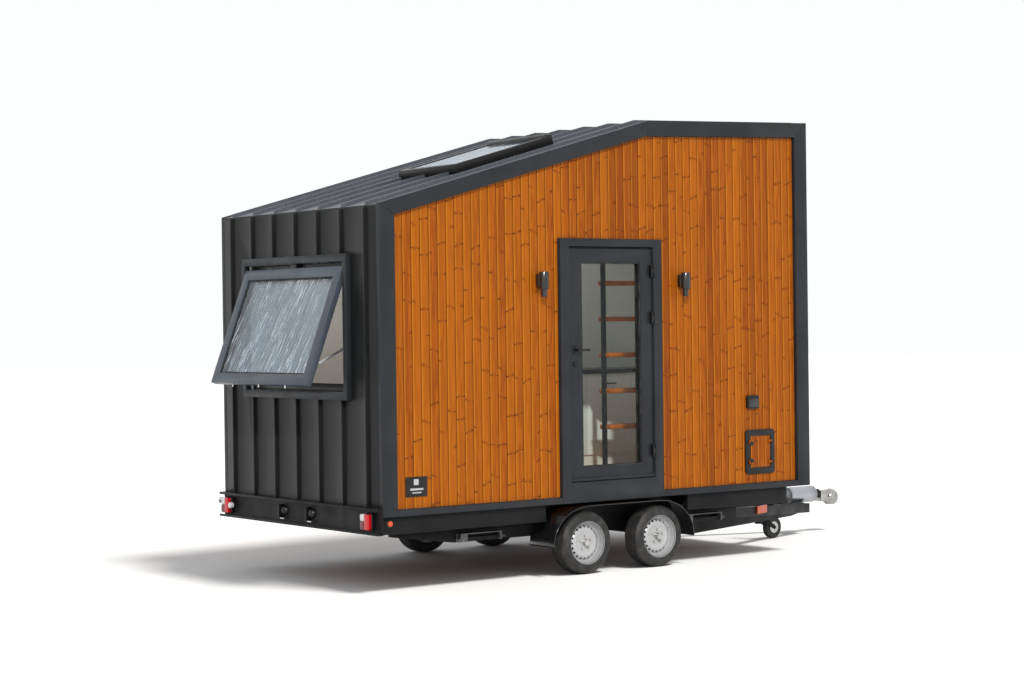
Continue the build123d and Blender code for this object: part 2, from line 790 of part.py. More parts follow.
def axles():
    """Two rubber-sprung axles: tube, trailing arms, brake drums and hubs."""
    pieces = []
    for x in axle_places:
        tube_x, tube_z = x + arm_length, beam_top - beam_depth - axle_tube / 2
        reach = beam_outer + 20
        axle = block((tube_x - axle_tube / 2, tube_x + axle_tube / 2), (-reach, reach),
                     (tube_z - axle_tube / 2, tube_z + axle_tube / 2))
        for y_side in (-1, 1):
            arm_y = sorted((y_side * (reach - 1), y_side * (reach + arm_width)))
            points = [(x - 30, wheel_radius - 30), (tube_x + 40, tube_z - 40), (tube_x + 40, tube_z + 36),
                      (x - 30, wheel_radius + 30)]
            axle += side_slab(points, *arm_y)
            drum_y = y_side * (reach + arm_width - 1 + drum_width / 2)
            axle += rod((x, drum_y, wheel_radius), drum_radius, drum_width, "y")
            hub_end = tyre_outer_y - 8 - rim_disc_inset + 14
            hub_start = reach + arm_width
            axle += rod((x, y_side * (hub_start + hub_end) / 2, wheel_radius), hub_radius,
                        hub_end - hub_start, "y")
        pieces.append(axle)
    save("axles", *pieces)


def mudguards():
    """Tandem mudguards: a skin arched over both wheels, with an inner flange to the chassis."""
    first, second = axle_places

    def arch(thickness, foot):
        reach, rise = mudguard_reach + thickness, mudguard_rise + thickness
        bend = [math.radians(step) for step in range(0, 91, 15)]
        rear = [(first - reach * math.cos(a), wheel_radius + rise * math.sin(a)) for a in bend]
        front = [(second + reach * math.cos(a), wheel_radius + rise * math.sin(a)) for a in reversed(bend)]
        return [(first - reach, foot)] + rear + front + [(second + reach, foot)]

    near = side_slab(arch(mudguard_skin, mudguard_foot), -mudguard_outer, -beam_outer)
    near -= side_slab(arch(0, mudguard_foot - 1), -mudguard_outer - 1, -beam_outer + 1)
    save("mudguards", near, mirrored(near))


def jockey_wheel():
    """Clamp and sleeve on the near drawbar arm, screw post, swivel fork and wheel."""
    centre = (jockey_x, jockey_y)
    z0, z1 = jockey_sleeve
    sleeve_outer = jockey_post_radius + slide_gap + jockey_sleeve_wall
    sleeve = rod((*centre, (z0 + z1) / 2), sleeve_outer, z1 - z0, "z")
    turn = math.atan2(drawbar_start_y - drawbar_end_y, drawbar_end - drawbar_start)
    run, across = jockey_x - drawbar_start, jockey_y + drawbar_start_y
    along = run * math.cos(turn) + across * math.sin(turn)
    reach = across * math.cos(turn) - run * math.sin(turn)
    length = math.hypot(drawbar_end - drawbar_start, drawbar_start_y - drawbar_end_y)
    fall = (beam_top - drawbar_nose_top) / length
    half = jockey_clamp_width / 2
    seat = [beam_top - (along + side_step) * fall for side_step in (-half, half)]
    bracket_top = z1 - jockey_bracket_drop
    outline = [(-half, seat[0]), (half, seat[1]), (half, bracket_top), (-half, bracket_top)]
    sleeve += on_arm(along) * side_slab(outline, -drawbar_width / 2, drawbar_width / 2)
    sleeve += on_arm(along) * block((-half, half), (0, reach), (z0, bracket_top))
    sleeve -= rod((*centre, (z0 + z1) / 2), jockey_post_radius + slide_gap, z1, "z")
    save("jockey_clamp", sleeve)
    wheel_r = jockey_diameter / 2
    base_foot, base_top = jockey_base
    post_foot = base_top + slide_gap
    save("jockey_post", rod((*centre, (post_foot + jockey_post_top) / 2), jockey_post_radius,
                            jockey_post_top - post_foot, "z"))
    turn = Pos(jockey_x, jockey_y, 0) * Rot(0, 0, jockey_swivel)
    half = jockey_width / 2 + jockey_fork_gap
    fork = rod((0, 0, (base_foot + base_top) / 2), jockey_base_radius, base_top - base_foot, "z")
    neck = jockey_trail - wheel_r - jockey_fork_gap
    fork += block((0, neck), (-half, half), (base_foot, base_top))
    eye = 2 * jockey_axle_radius
    arm = [(neck - eye, base_foot), (jockey_trail, wheel_r - eye), (jockey_trail + eye, wheel_r),
           (jockey_trail, wheel_r + eye), (neck, base_top), (neck - eye, base_top)]
    for y in ((-half - fork_plate, -half), (half, half + fork_plate)):
        fork += side_slab(arm, *y)
    fork += rod((jockey_trail, 0, wheel_r), jockey_axle_radius, 2 * half + 2, "y")
    save("jockey_fork", turn * fork)
    wheel = rod((jockey_trail, 0, wheel_r), wheel_r, jockey_width, "y")
    wheel -= rod((jockey_trail, 0, wheel_r), jockey_axle_radius + hub_gap, jockey_width + 2, "y")
    save("jockey_wheel", turn * fillet(wheel.edges().filter_by(GeomType.CIRCLE).group_by(SortBy.RADIUS)[-1], 14))


def steady(x, y_side):
    """One corner steady's bracket and folded leg, the bracket on the lower beam's outer face."""
    y0 = beam_outer
    y1 = beam_outer + steady_width + 2 * steady_plate + 4
    top = beam_top - 20
    bracket = block((x, x + steady_length), (y0, y1), (top - steady_plate, top))
    leg_y = (y0 + steady_plate + 2, y0 + steady_plate + 2 + steady_width)
    for cheek in ((y0, y0 + steady_plate), (y1 - steady_plate, y1)):
        bracket += block((x, x + 70), cheek, (steady_pivot_z - 24, top))
    pin_x = x + 30
    middle = (y0 + y1) / 2
    bracket += rod((pin_x, middle, steady_pivot_z), steady_pin_radius, y1 - y0, "y")
    bracket += block((x + steady_length - 20, x + steady_length), (y0, y1), (steady_pivot_z - 24, top))
    bracket += rod((x + steady_length + 20, middle, steady_pivot_z), spindle_nut, 60, "x")
    leg = block((pin_x, x + steady_length - 30), leg_y,
                (steady_pivot_z - steady_leg_depth / 2, steady_pivot_z + steady_leg_depth / 2))
    leg += rod((pin_x, middle, steady_pivot_z), steady_leg_depth / 2, steady_width, "y")
    leg -= rod((pin_x, middle, steady_pivot_z), steady_pin_radius + hub_gap, steady_width + 2, "y")
    if y_side < 0:
        return mirrored(bracket), mirrored(leg)
    return bracket, leg


def steadies():
    brackets = []
    for x, end in zip(steady_places, ("rear", "front")):
        for y_side, name in ((-1, "near"), (1, "far")):
            bracket, leg = steady(x, y_side)
            brackets.append(bracket)
            save(f"{end}_{name}_steady", leg)
    save("steady_brackets", *brackets)


def lamps():
    """Tail lamps in the rear channel, number-plate lamps, side markers and drawbar reflectors."""
    depth, width, height = tail_lamp_size
    tails = []
    for y in tail_lamp_places:
        tails.append(block((-channel_wall - depth, -channel_wall), (y - width / 2, y + width / 2),
                           (tail_lamp_z - height / 2, tail_lamp_z + height / 2)))
    plates = []
    for y_side in (-1, 1):
        y = y_side * plate_lamp_y
        plates.append(block((-channel_wall - 50, -channel_wall), (y - 45, y + 45),
                            (tail_lamp_z - 45, tail_lamp_z + 45)))
    save("rear_lamps", *tails, *plates)
    ambers = []
    for y_side in (-1, 1):
        ambers.append(rod((marker_x, y_side * (rail_outer + marker_proud / 2), marker_z), marker_radius,
                          marker_proud, "y"))
    length, thick, tall = reflector_size
    reflector = on_arm(reflector_along) * block(
        (-length / 2, length / 2), (-drawbar_width / 2 - thick, -drawbar_width / 2),
        (reflector_foot, reflector_foot + tall))
    save("amber_lamps", *ambers, reflector, mirrored(reflector))


shell()
skylight()
metal_cladding()
fascias()
timber_cladding()
door()
rear_window()
wall_fittings()
hatch()
interior()
chassis()
hitch()
wheels()
axles()
mudguards()
jockey_wheel()
steadies()
lamps()
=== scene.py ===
import json
import math

import bpy
from mathutils import Matrix, Vector

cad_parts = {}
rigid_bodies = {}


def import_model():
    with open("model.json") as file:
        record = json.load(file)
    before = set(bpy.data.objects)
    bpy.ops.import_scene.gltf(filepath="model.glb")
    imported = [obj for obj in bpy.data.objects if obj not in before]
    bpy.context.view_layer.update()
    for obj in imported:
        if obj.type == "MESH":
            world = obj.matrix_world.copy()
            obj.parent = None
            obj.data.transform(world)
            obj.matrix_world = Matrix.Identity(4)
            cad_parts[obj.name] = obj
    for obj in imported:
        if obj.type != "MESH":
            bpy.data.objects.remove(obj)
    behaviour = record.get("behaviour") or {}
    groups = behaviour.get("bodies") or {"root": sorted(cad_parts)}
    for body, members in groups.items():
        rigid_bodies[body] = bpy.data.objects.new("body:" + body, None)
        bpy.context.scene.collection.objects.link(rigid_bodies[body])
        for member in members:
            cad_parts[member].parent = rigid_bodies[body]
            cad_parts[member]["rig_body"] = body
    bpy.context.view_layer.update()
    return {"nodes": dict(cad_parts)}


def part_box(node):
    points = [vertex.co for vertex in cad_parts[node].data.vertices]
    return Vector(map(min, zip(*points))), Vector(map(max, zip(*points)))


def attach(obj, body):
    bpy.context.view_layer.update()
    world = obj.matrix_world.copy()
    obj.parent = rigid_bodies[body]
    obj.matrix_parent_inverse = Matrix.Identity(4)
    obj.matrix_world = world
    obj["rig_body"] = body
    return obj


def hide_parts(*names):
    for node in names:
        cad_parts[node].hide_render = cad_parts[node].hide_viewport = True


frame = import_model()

# A tiny house on a twin-axle trailer. Metres. +x runs to the tow coupling, the door side faces -y.

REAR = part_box("near_fascia")[0][0]
HOUSE = 4.640
EAVE, KNEE_X, KNEE, FRONT = 3.056, 2.765, 3.823, 3.886
SLOPE = math.atan2(KNEE - EAVE, KNEE_X)
FLAT = math.atan2(FRONT - KNEE, HOUSE - KNEE_X)
SIDE = -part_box("near_fascia")[0][1]
TIMBER = SIDE - 0.032
BOARD = 0.084


def colour(red, green, blue):
    """Linear colour from chart values of 0 to 255."""
    def linear(value):
        value /= 255
        return value / 12.92 if value <= 0.04045 else ((value + 0.055) / 1.055) ** 2.4
    return (linear(red), linear(green), linear(blue), 1)


class Value:
    """A node's output, to be used in sums."""

    def __init__(self, finish, socket):
        self.finish, self.socket = finish, socket

    def work(self, operation, *terms):
        return self.finish.node("ShaderNodeMath", {"operation": operation}, dict(enumerate(terms)))

    def __add__(self, other):
        return self.work("ADD", self, other)

    def __sub__(self, other):
        return self.work("SUBTRACT", self, other)

    def __rsub__(self, other):
        return self.work("SUBTRACT", other, self)

    def __mul__(self, other):
        return self.work("MULTIPLY", self, other)

    def __truediv__(self, other):
        return self.work("DIVIDE", self, other)

    def __abs__(self):
        return self.work("ABSOLUTE", self)

    def sine(self):
        return self.work("SINE", self)

    def floor(self):
        return self.work("FLOOR", self)

    def nearest(self):
        return self.work("ROUND", self)

    def __lt__(self, other):
        return self.work("LESS_THAN", self, other)

    def __gt__(self, other):
        return self.work("GREATER_THAN", self, other)

    __radd__ = __add__
    __rmul__ = __mul__


class Finish:
    """A material, made by adding nodes."""

    def __init__(self, name):
        self.material = bpy.data.materials.new(name)
        self.material.use_nodes = True
        self.tree = self.material.node_tree
        self.tree.nodes.clear()
        self.place = self.node("ShaderNodeTexCoord", result="Object")

    def node(self, kind, settings=None, sockets=None, result=0):
        made = self.tree.nodes.new(kind)
        for name, value in (settings or {}).items():
            if name == "stops":
                ramp = made.color_ramp
                while len(ramp.elements) < len(value):
                    ramp.elements.new(1)
                for element, (position, shade) in zip(ramp.elements, value):
                    element.position, element.color = position, shade
            else:
                setattr(made, name, value)
        for name, value in (sockets or {}).items():
            if isinstance(value, Value):
                self.tree.links.new(value.socket, made.inputs[name])
            else:
                made.inputs[name].default_value = value
        return Value(self, made.outputs[result])

    def axes(self):
        return [self.node("ShaderNodeSeparateXYZ", sockets={0: self.place}, result=i) for i in range(3)]

    def point(self, x, y, z):
        return self.node("ShaderNodeCombineXYZ", sockets={0: x, 1: y, 2: z})

    def stretched(self, x, y, z):
        return self.node("ShaderNodeVectorMath", {"operation": "MULTIPLY"}, {0: self.place, 1: (x, y, z)})

    def noise(self, scale, detail=2.0, rough=0.5, where=None):
        return self.node("ShaderNodeTexNoise", sockets={"Vector": where or self.place, "Scale": scale,
                                                        "Detail": detail, "Roughness": rough})

    def mix(self, share, first, second):
        return self.node("ShaderNodeMix", {"data_type": "RGBA"}, {0: share, 6: first, 7: second}, 2)

    def between(self, value, low, high, start=0.0, end=1.0):
        return self.node("ShaderNodeMapRange", {"interpolation_type": "SMOOTHSTEP"},
                         {0: value, 1: low, 2: high, 3: start, 4: end})

    def bump(self, height, distance, strength=1.0):
        return self.node("ShaderNodeBump", sockets={"Height": height, "Distance": distance,
                                                    "Strength": strength})

    def shade(self, kind, sockets):
        return self.node(kind, sockets=sockets)

    def finish(self, surface):
        end = self.tree.nodes.new("ShaderNodeOutputMaterial")
        self.tree.links.new(surface.socket, end.inputs[0])
        return self.material


def painted(name, base, rough, grain=700, metallic=0.0, coat=0.0, wear_and_reflection_patches=0.12, dust=None, dust_share=0.0,
            shine=0.3):
    """Powder coat, plastic or bare metal: uneven tone, fine grain and patchy gloss."""
    f = Finish(name)
    patches = f.noise(2.3, 5, 0.6)
    fine = f.noise(grain, 2)
    dark = tuple(c * (1 - wear_and_reflection_patches) for c in base[:3]) + (1,)
    light = tuple(min(1, c * (1 + wear_and_reflection_patches) + 0.003) for c in base[:3]) + (1,)
    shade = f.mix(f.between(patches, 0.3, 0.7), dark, light)
    shade = f.mix(f.between(f.noise(38, 4, 0.7), 0.4, 0.75, 0, 0.35), shade, light)
    if dust:
        height = f.axes()[2]
        share = f.between(height, 0.7, 0.0) * f.between(f.noise(9, 6, 0.65), 0.35, 0.7) * dust_share
        shade = f.mix(share, shade, dust)
    gloss = f.between(f.noise(6, 4, 0.6), 0.3, 0.7, rough * 0.85, min(1, rough * 1.2))
    return f.finish(f.shade("ShaderNodeBsdfPrincipled", {
        "Base Color": shade, "Roughness": gloss, "Metallic": metallic, "Coat Weight": coat,
        "Coat Roughness": 0.12, "Specular IOR Level": shine, "Normal": f.bump(fine, 0.00012)}))


def stained_boards(name, along, upright=True, first=0.0, knots=True, tint=(0.56, 0.44, 0.12)):
    """Stained softwood boards: a tone for each board, flame grain, ring bands, knots and whiskers, with a
    painted highlight and painted shade along each board's long edges.
    """
    f = Finish(name)
    x, y, z = f.axes()
    if along == "y":
        x, y = y, x
    if not upright:
        x, z = z, x
    count = ((x - first) / BOARD).floor()
    across = (x - first) / BOARD - count
    tone = f.node("ShaderNodeTexWhiteNoise", {"noise_dimensions": "1D"}, {"W": count})
    second = f.node("ShaderNodeTexWhiteNoise", {"noise_dimensions": "1D"}, {"W": count + 31.7})
    lift = z + tone * 9.0
    pitch = 0.29
    row = (lift / pitch).floor()
    dice = f.node("ShaderNodeTexWhiteNoise", {"noise_dimensions": "2D"},
                  {"Vector": f.point(count, row, 0.0)}, 1)
    luck, lean, bend = [f.node("ShaderNodeSeparateColor", sockets={0: dice}, result=i) for i in range(3)]
    off = across - 0.5
    rise = lift - (row + lean * 0.6 + 0.2) * pitch - off * (bend - 0.5) * 0.075
    rise = rise - off * off * (luck - 0.6) * 0.16
    side = f.between(off * (f.between(lean, 0.45, 0.55) - 0.5) * 2.0, -0.12, 0.10)
    alone = luck > 0.72
    thick = f.between(abs(off), 0.10, 0.36, 0.0008, 0.0052) * f.between(bend, 0.0, 1.0, 0.55, 1.15)
    present = (luck > 0.30) * (1 - alone * (1 - side))
    mark = f.between(abs(rise), thick, thick * 0.35) * present
    halo = f.between(abs(rise), 0.030, 0.0) * present
    swerve = halo * off * 0.020
    flow = f.point((x + swerve) * 26.0 + tone * 50.0, y * 26.0, lift * 0.85)
    streaks = f.noise(4.2, 6, 0.62, flow)
    fine = f.noise(16.0, 4, 0.7, f.point((x + swerve) * 30.0, y * 30.0, lift * 0.9 + second * 7.0))
    wander = f.noise(1.0, 3, 0.5, f.point(x * 9.0 + second * 40.0, y * 9.0, lift * 0.75))
    rings = f.between((across * 5.0 + wander * 34.0 + halo * 2.0).sine(), 0.1, 1.0)

    def stain(r, g, b):
        shade = colour(r, g, b)
        return tuple(c * t for c, t in zip(shade[:3], tint)) + (1,)

    shade = f.mix(f.between(streaks, 0.32, 0.70), stain(206, 124, 36), stain(161, 84, 17))
    shade = f.mix(rings * 0.42, shade, stain(138, 66, 12))
    shade = f.mix(f.between(tone, 0.0, 1.0, 0.0, 0.42), shade, stain(214, 138, 48))
    shade = f.mix(f.between(second, 0.55, 1.0, 0.0, 0.50), shade, stain(134, 66, 16))
    shade = f.mix(f.between(fine, 0.52, 0.8, 0.0, 0.45), shade, stain(116, 54, 10))
    # Painted highlight along one long edge of each board and painted shade along the other, standing in for
    # light on the chamfers.
    shade = f.mix(f.between(across, 0.24, 0.07, 0.0, 0.45), shade, stain(240, 168, 70))
    shade = f.mix(f.between(across, 0.80, 0.97, 0.0, 0.50), shade, stain(120, 56, 12))
    if knots:
        shade = f.mix(halo * halo * 0.30, shade, stain(132, 60, 12))
        shade = f.mix(mark * 0.88, shade, stain(62, 30, 16))
    edge = f.between(abs(across - 0.5), 0.462, 0.492)
    shade = f.mix(edge * 0.8, shade, stain(60, 27, 8))
    height = streaks * 0.5 + fine * 0.4 - edge * 0.6
    return f.finish(f.shade("ShaderNodeBsdfPrincipled", {
        "Base Color": shade, "Roughness": f.between(streaks, 0.3, 0.7, 0.38, 0.55),
        "Specular IOR Level": 0.12, "Normal": f.bump(height, 0.0006, 0.8)}))


def sheet_metal(name, base, rough=0.36):
    """Coated seam sheet: slow waves that show in its shine, rain streaks and fine grain."""
    f = Finish(name)
    streak = f.noise(3.0, 5, 0.6, f.stretched(14, 14, 0.8))
    slow = f.noise(1.6, 2, 0.5, f.stretched(1.0, 3.0, 0.7))
    fine = f.noise(900, 1)
    dark = tuple(c * 0.86 for c in base[:3]) + (1,)
    light = tuple(c * 1.14 for c in base[:3]) + (1,)
    shade = f.mix(f.between(streak, 0.35, 0.7), dark, light)
    return f.finish(f.shade("ShaderNodeBsdfPrincipled", {
        "Base Color": shade, "Roughness": f.between(streak, 0.3, 0.7, rough * 0.9, rough * 1.15),
        "Specular IOR Level": 0.2, "Normal": f.bump(slow + fine * 0.01, 0.006, 0.5)}))


def pane(name, tint, mirrored, glance, streaked=0.0, lean=0.0):
    """Clear glazing: see-through, with a mirror share and thin slanting streaks of dirt."""
    f = Finish(name)
    x, y, z = f.axes()
    rim = f.node("ShaderNodeFresnel", sockets={"IOR": 1.45})
    slant = f.point(x * 0.3, y * 17.0 + z * lean, z * 0.9 - y * 0.5)
    line = f.between(abs(f.noise(1.5, 3, 0.55, slant) - 0.5), 0.022, 0.002)
    line = line * f.between(f.noise(2.4, 3), 0.30, 0.52)
    share = f.between(f.noise(0.9, 3, 0.5), 0.3, 0.7, mirrored * 0.85, mirrored * 1.1)
    share = share + rim * glance + line * streaked
    mirror = f.shade("ShaderNodeBsdfGlossy", {"Color": (0.86, 0.93, 1.0, 1),
                                              "Roughness": f.between(line, 0.0, 1.0, 0.03, 0.3)})
    through = f.shade("ShaderNodeBsdfTransparent", {"Color": tint})
    return f.finish(f.node("ShaderNodeMixShader", sockets={0: share, 1: through, 2: mirror}))


def lens(name, base, ribs=220.0):
    """Moulded lamp lens with fine ribs under a glossy face."""
    f = Finish(name)
    y, z = f.axes()[1:]
    wave, cross = [(place * (ribs * 3.14)).sine() for place in (y, z)]
    deep = tuple(c * 0.45 for c in base[:3]) + (1,)
    shade = f.mix(f.between(wave * cross, -0.6, 0.8), deep, base)
    return f.finish(f.shade("ShaderNodeBsdfPrincipled", {
        "Base Color": shade, "Roughness": f.between(f.noise(40, 3), 0.3, 0.7, 0.14, 0.22),
        "Coat Weight": 0.3, "Coat Roughness": 0.04, "Normal": f.bump(wave + cross, 0.0004, 0.5)}))


def rubber(name, base):
    """Tyre or hose rubber, dusty where it meets the road."""
    f = Finish(name)
    dust = f.between(f.noise(14, 5, 0.65), 0.42, 0.72, 0.0, 0.55)
    shade = f.mix(dust, base, colour(66, 63, 60))
    height = f.noise(320, 2) * 0.3
    return f.finish(f.shade("ShaderNodeBsdfPrincipled", {
        "Base Color": shade, "Roughness": f.between(f.noise(9, 4), 0.3, 0.7, 0.55, 0.8),
        "Normal": f.bump(height, 0.0006, 0.7)}))


def wall_lining(name, base, painted_shade_ends=None):
    """Painted lining board with a faint roller texture and board joints; its ends can be painted near-black
    as shade.
    """
    f = Finish(name)
    x, z = f.axes()[::2]
    shade = f.mix(f.between(f.noise(1.3, 4, 0.6), 0.3, 0.7), tuple(c * 0.93 for c in base[:3]) + (1,), base)
    row = z / 0.14
    groove = f.between(abs(row - row.nearest()), 0.03, 0.0)
    shade = f.mix(groove * 0.06, shade, colour(150, 148, 142))
    # Beyond these x values the lining is painted near-black: painted shade on the slab's ends, which sit in
    # dark slots at the walls.
    if painted_shade_ends:
        shade = f.mix((x < painted_shade_ends[0]) + (x > painted_shade_ends[1]), shade, colour(20, 20, 21))
    return f.finish(f.shade("ShaderNodeBsdfPrincipled", {
        "Base Color": shade, "Roughness":
        f.between(f.noise(20, 3), 0.3, 0.7, 0.55, 0.7),
        "Normal": f.bump(f.noise(420, 2) * 0.2 - groove * 0.3, 0.0008)}))


ANTHRACITE = painted("anthracite_powder_coat", colour(31, 34, 38), 0.42, shine=0.22)
# The sash coat is lighter and bluer than the casing's anthracite: painted sky reflection on the open,
# upward-facing sash.
SASH_GREY_PAINTED_SKY = painted("window_frame_coat_painted_sky", colour(55, 62, 72), 0.36, coat=0.02)
SEAM_METAL = sheet_metal("seam_sheet", colour(22, 23, 24))
# The roof takes the walls' seam sheet made much lighter and bluer: painted light and sky reflection on the
# roof's upward faces.
ROOF_SHEET_PAINTED_LIGHTER = sheet_metal("roof_sheet_painted_lighter", colour(72, 76, 82), 0.34)
TIMBER_BOARDS = stained_boards("stained_pine_boards", "x", first=REAR + 0.147)
TREAD_WOOD = stained_boards("stained_pine_treads", "y", first=0.0, knots=False, tint=(1.0, 0.80, 0.55))
DECK = stained_boards("oiled_floor_boards", "y", upright=False, knots=False, tint=(0.55, 0.46, 0.30))
STEEL = painted("black_chassis_paint", colour(15, 16, 18), 0.48, dust=colour(62, 58, 52), dust_share=0.12,
                shine=0.16)
GLOSS_BLACK = painted("gloss_black_moulding", colour(14, 15, 17), 0.18, coat=0.9)
BLACK = painted("black_fittings", colour(12, 12, 13), 0.36, coat=0.1)
RUBBER = rubber("tyre_rubber", colour(20, 20, 20))
GASKET = rubber("gasket_rubber", colour(8, 8, 9))
# On the bare zinc and polished steel the deep tone patches are painted reflection, standing in for darker
# surroundings in their mirror.
ZINC = painted("zinc_plate", colour(150, 153, 157), 0.28, metallic=0.9, wear_and_reflection_patches=0.45)
BRIGHT = painted("polished_steel", colour(186, 184, 181), 0.14, metallic=1.0, wear_and_reflection_patches=0.35)
RIM_PAINT = painted("silver_wheel_paint", colour(168, 170, 171), 0.34, metallic=0.35, coat=0.2, wear_and_reflection_patches=0.08)
GALVANISED = painted("galvanised_steel", colour(92, 94, 96), 0.42, metallic=0.6, wear_and_reflection_patches=0.3)
WHITE = wall_lining("white_lining", colour(240, 239, 234))
# The ceiling slab's ends over the walls get painted shade.
CEILING = wall_lining("ceiling_lining", colour(240, 239, 234),
                      painted_shade_ends=(REAR + 0.118, REAR + HOUSE - 0.118))
CABINET = painted("white_cabinet_front", colour(238, 238, 236), 0.32, coat=0.2, wear_and_reflection_patches=0.03)
WORKTOP = painted("black_worktop", colour(20, 20, 22), 0.30, grain=300, coat=0.1, wear_and_reflection_patches=0.3)
RED = lens("red_lens", colour(200, 8, 24))
DARK_RED = lens("dark_red_lens", colour(104, 4, 14))
CLEAR_LENS = lens("clear_lens", colour(206, 208, 210))
AMBER = lens("amber_lens", colour(236, 84, 0))
CLEAR = pane("clear_glass", (0.93, 0.96, 0.94, 1), 0.004, 0.12)
WINDOW = pane("window_glass", (0.62, 0.66, 0.68, 1), 0.10, 0.5, 0.55, 4.0)
SKY_PANE = pane("skylight_glass", (0.90, 0.93, 0.95, 1), 0.25, 0.5, 0.1)


def clear_selection():
    bpy.ops.object.select_all(action="DESELECT")


def pick(piece):
    clear_selection()
    piece.select_set(True)
    bpy.context.view_layer.objects.active = piece


def edit(piece, work, everything=True):
    """Runs work in edit mode, with everything or nothing selected."""
    pick(piece)
    bpy.ops.object.mode_set(mode="EDIT")
    bpy.ops.mesh.select_all(action="SELECT" if everything else "DESELECT")
    work()
    bpy.ops.object.mode_set(mode="OBJECT")


def choose(piece, kind, test):
    """Selects the vertices, edges or faces that pass the test, for the next edit."""
    bpy.ops.object.mode_set(mode="OBJECT")
    mesh = piece.data
    for group in (mesh.polygons, mesh.edges, mesh.vertices):
        group.foreach_set("select", [False] * len(group))
    chosen = {"faces": mesh.polygons, "edges": mesh.edges, "points": mesh.vertices}[kind]
    for element in chosen:
        element.select = bool(test(element))
    bpy.ops.object.mode_set(mode="EDIT")
    bpy.ops.mesh.select_mode(type={"faces": "FACE", "edges": "EDGE", "points": "VERT"}[kind])


def settle(piece):
    pick(piece)
    bpy.ops.object.transform_apply(location=True, rotation=True, scale=True)
    return piece


def brick(name, low, high):
    """A cube of the given corners."""
    clear_selection()
    size = [b - a for a, b in zip(low, high)]
    bpy.ops.mesh.primitive_cube_add(size=1, location=[(a + b) / 2 for a, b in zip(low, high)], scale=size)
    piece = bpy.context.object
    piece.name = name
    return settle(piece)


def barrel(name, centre, radius, length, axis="z", sides=32):
    clear_selection()
    turn = {"x": (0, math.pi / 2, 0), "y": (math.pi / 2, 0, 0), "z": (0, 0, 0)}[axis]
    bpy.ops.mesh.primitive_cylinder_add(vertices=sides, radius=radius, depth=length, location=centre,
                                        rotation=turn)
    piece = bpy.context.object
    piece.name = name
    return settle(piece)


def modified(piece, kind, **settings):
    pick(piece)
    bpy.ops.object.modifier_add(type=kind)
    modifier = piece.modifiers[-1]
    for name, value in settings.items():
        setattr(modifier, name, value)
    bpy.ops.object.modifier_apply(modifier=modifier.name)
    return piece


def smooth(piece, degrees=35):
    pick(piece)
    bpy.ops.object.shade_smooth_by_angle(angle=math.radians(degrees))
    return piece


def eased(piece, width, segments=2, degrees=30):
    """Rounds the edges sharper than degrees."""
    modified(piece, "BEVEL", width=width, segments=segments, limit_method="ANGLE",
             angle_limit=math.radians(degrees), use_clamp_overlap=True)
    return smooth(piece)


def joined(name, pieces):
    clear_selection()
    for piece in pieces:
        piece.select_set(True)
    bpy.context.view_layer.objects.active = pieces[0]
    if len(pieces) > 1:
        bpy.ops.object.join()
    pieces[0].name = name
    return pieces[0]


def coated(piece, material):
    piece.data.materials.clear()
    piece.data.materials.append(material)
    return piece


def turned(name, outline, centre, axis, steps=64, sign=1):
    """A closed outline of (along the axis, radius) points, spun about the axis through centre."""
    clear_selection()
    bpy.ops.mesh.primitive_circle_add(vertices=len(outline), radius=1)
    piece = bpy.context.object
    piece.name = name
    along = {"x": (1, 0, 0), "y": (0, 1, 0), "z": (0, 0, 1)}[axis]
    out = (1, 0, 0) if axis == "z" else (0, 0, 1)
    for vertex, (distance, radius) in zip(piece.data.vertices, outline):
        vertex.co = Vector(centre) + Vector(along) * distance * sign + Vector(out) * radius
    piece.location = (0, 0, 0)

    def spin():
        bpy.ops.mesh.spin(steps=steps, angle=2 * math.pi, center=centre, axis=along)
        bpy.ops.mesh.select_all(action="SELECT")
        bpy.ops.mesh.remove_doubles(threshold=0.00002)
        bpy.ops.mesh.normals_make_consistent(inside=False)

    edit(piece, spin)
    return smooth(piece, 32)


def copied(piece, name, move=(0, 0, 0), turn=0.0, about=(0, 0, 0)):
    """A copy with its own mesh, turned about the upright through a point and moved."""
    twin = piece.copy()
    twin.data = piece.data.copy()
    twin.name = name
    bpy.context.scene.collection.objects.link(twin)
    centre = Matrix.Translation(about)
    spin = centre @ Matrix.Rotation(turn, 4, "Z") @ centre.inverted()
    twin.data.transform(Matrix.Translation(move) @ spin)
    return twin


def place(piece, body, slot, material=None, stands_for=()):
    """Gives a piece its finish and body, and hides the nodes it stands for. The slot is not used."""
    if material:
        coated(piece, material)
    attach(piece, body)
    if stands_for:
        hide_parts(*stands_for)
    return piece


def body_of(node):
    return frame["nodes"][node]["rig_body"]


def cad_copy(node, name):
    """A copy of a CAD node's mesh that carries none of its marks."""
    piece = frame["nodes"][node].copy()
    piece.data = piece.data.copy()
    piece.name = name
    piece.parent = None
    for key in list(piece.keys()):
        del piece[key]
    bpy.context.scene.collection.objects.link(piece)
    return piece


def weld():
    """Merges the loose triangles under edit and joins the flat ones."""
    bpy.ops.mesh.remove_doubles(threshold=0.00001)
    bpy.ops.mesh.dissolve_limited(angle_limit=math.radians(0.5))


def refined(node, width, material, slot, segments=2, degrees=30):
    """A CAD node's shape with its edges eased, standing for it."""
    piece = cad_copy(node, node + "_eased")
    edit(piece, weld)
    eased(piece, width, segments, degrees)
    return place(piece, body_of(node), slot, material, (node,))


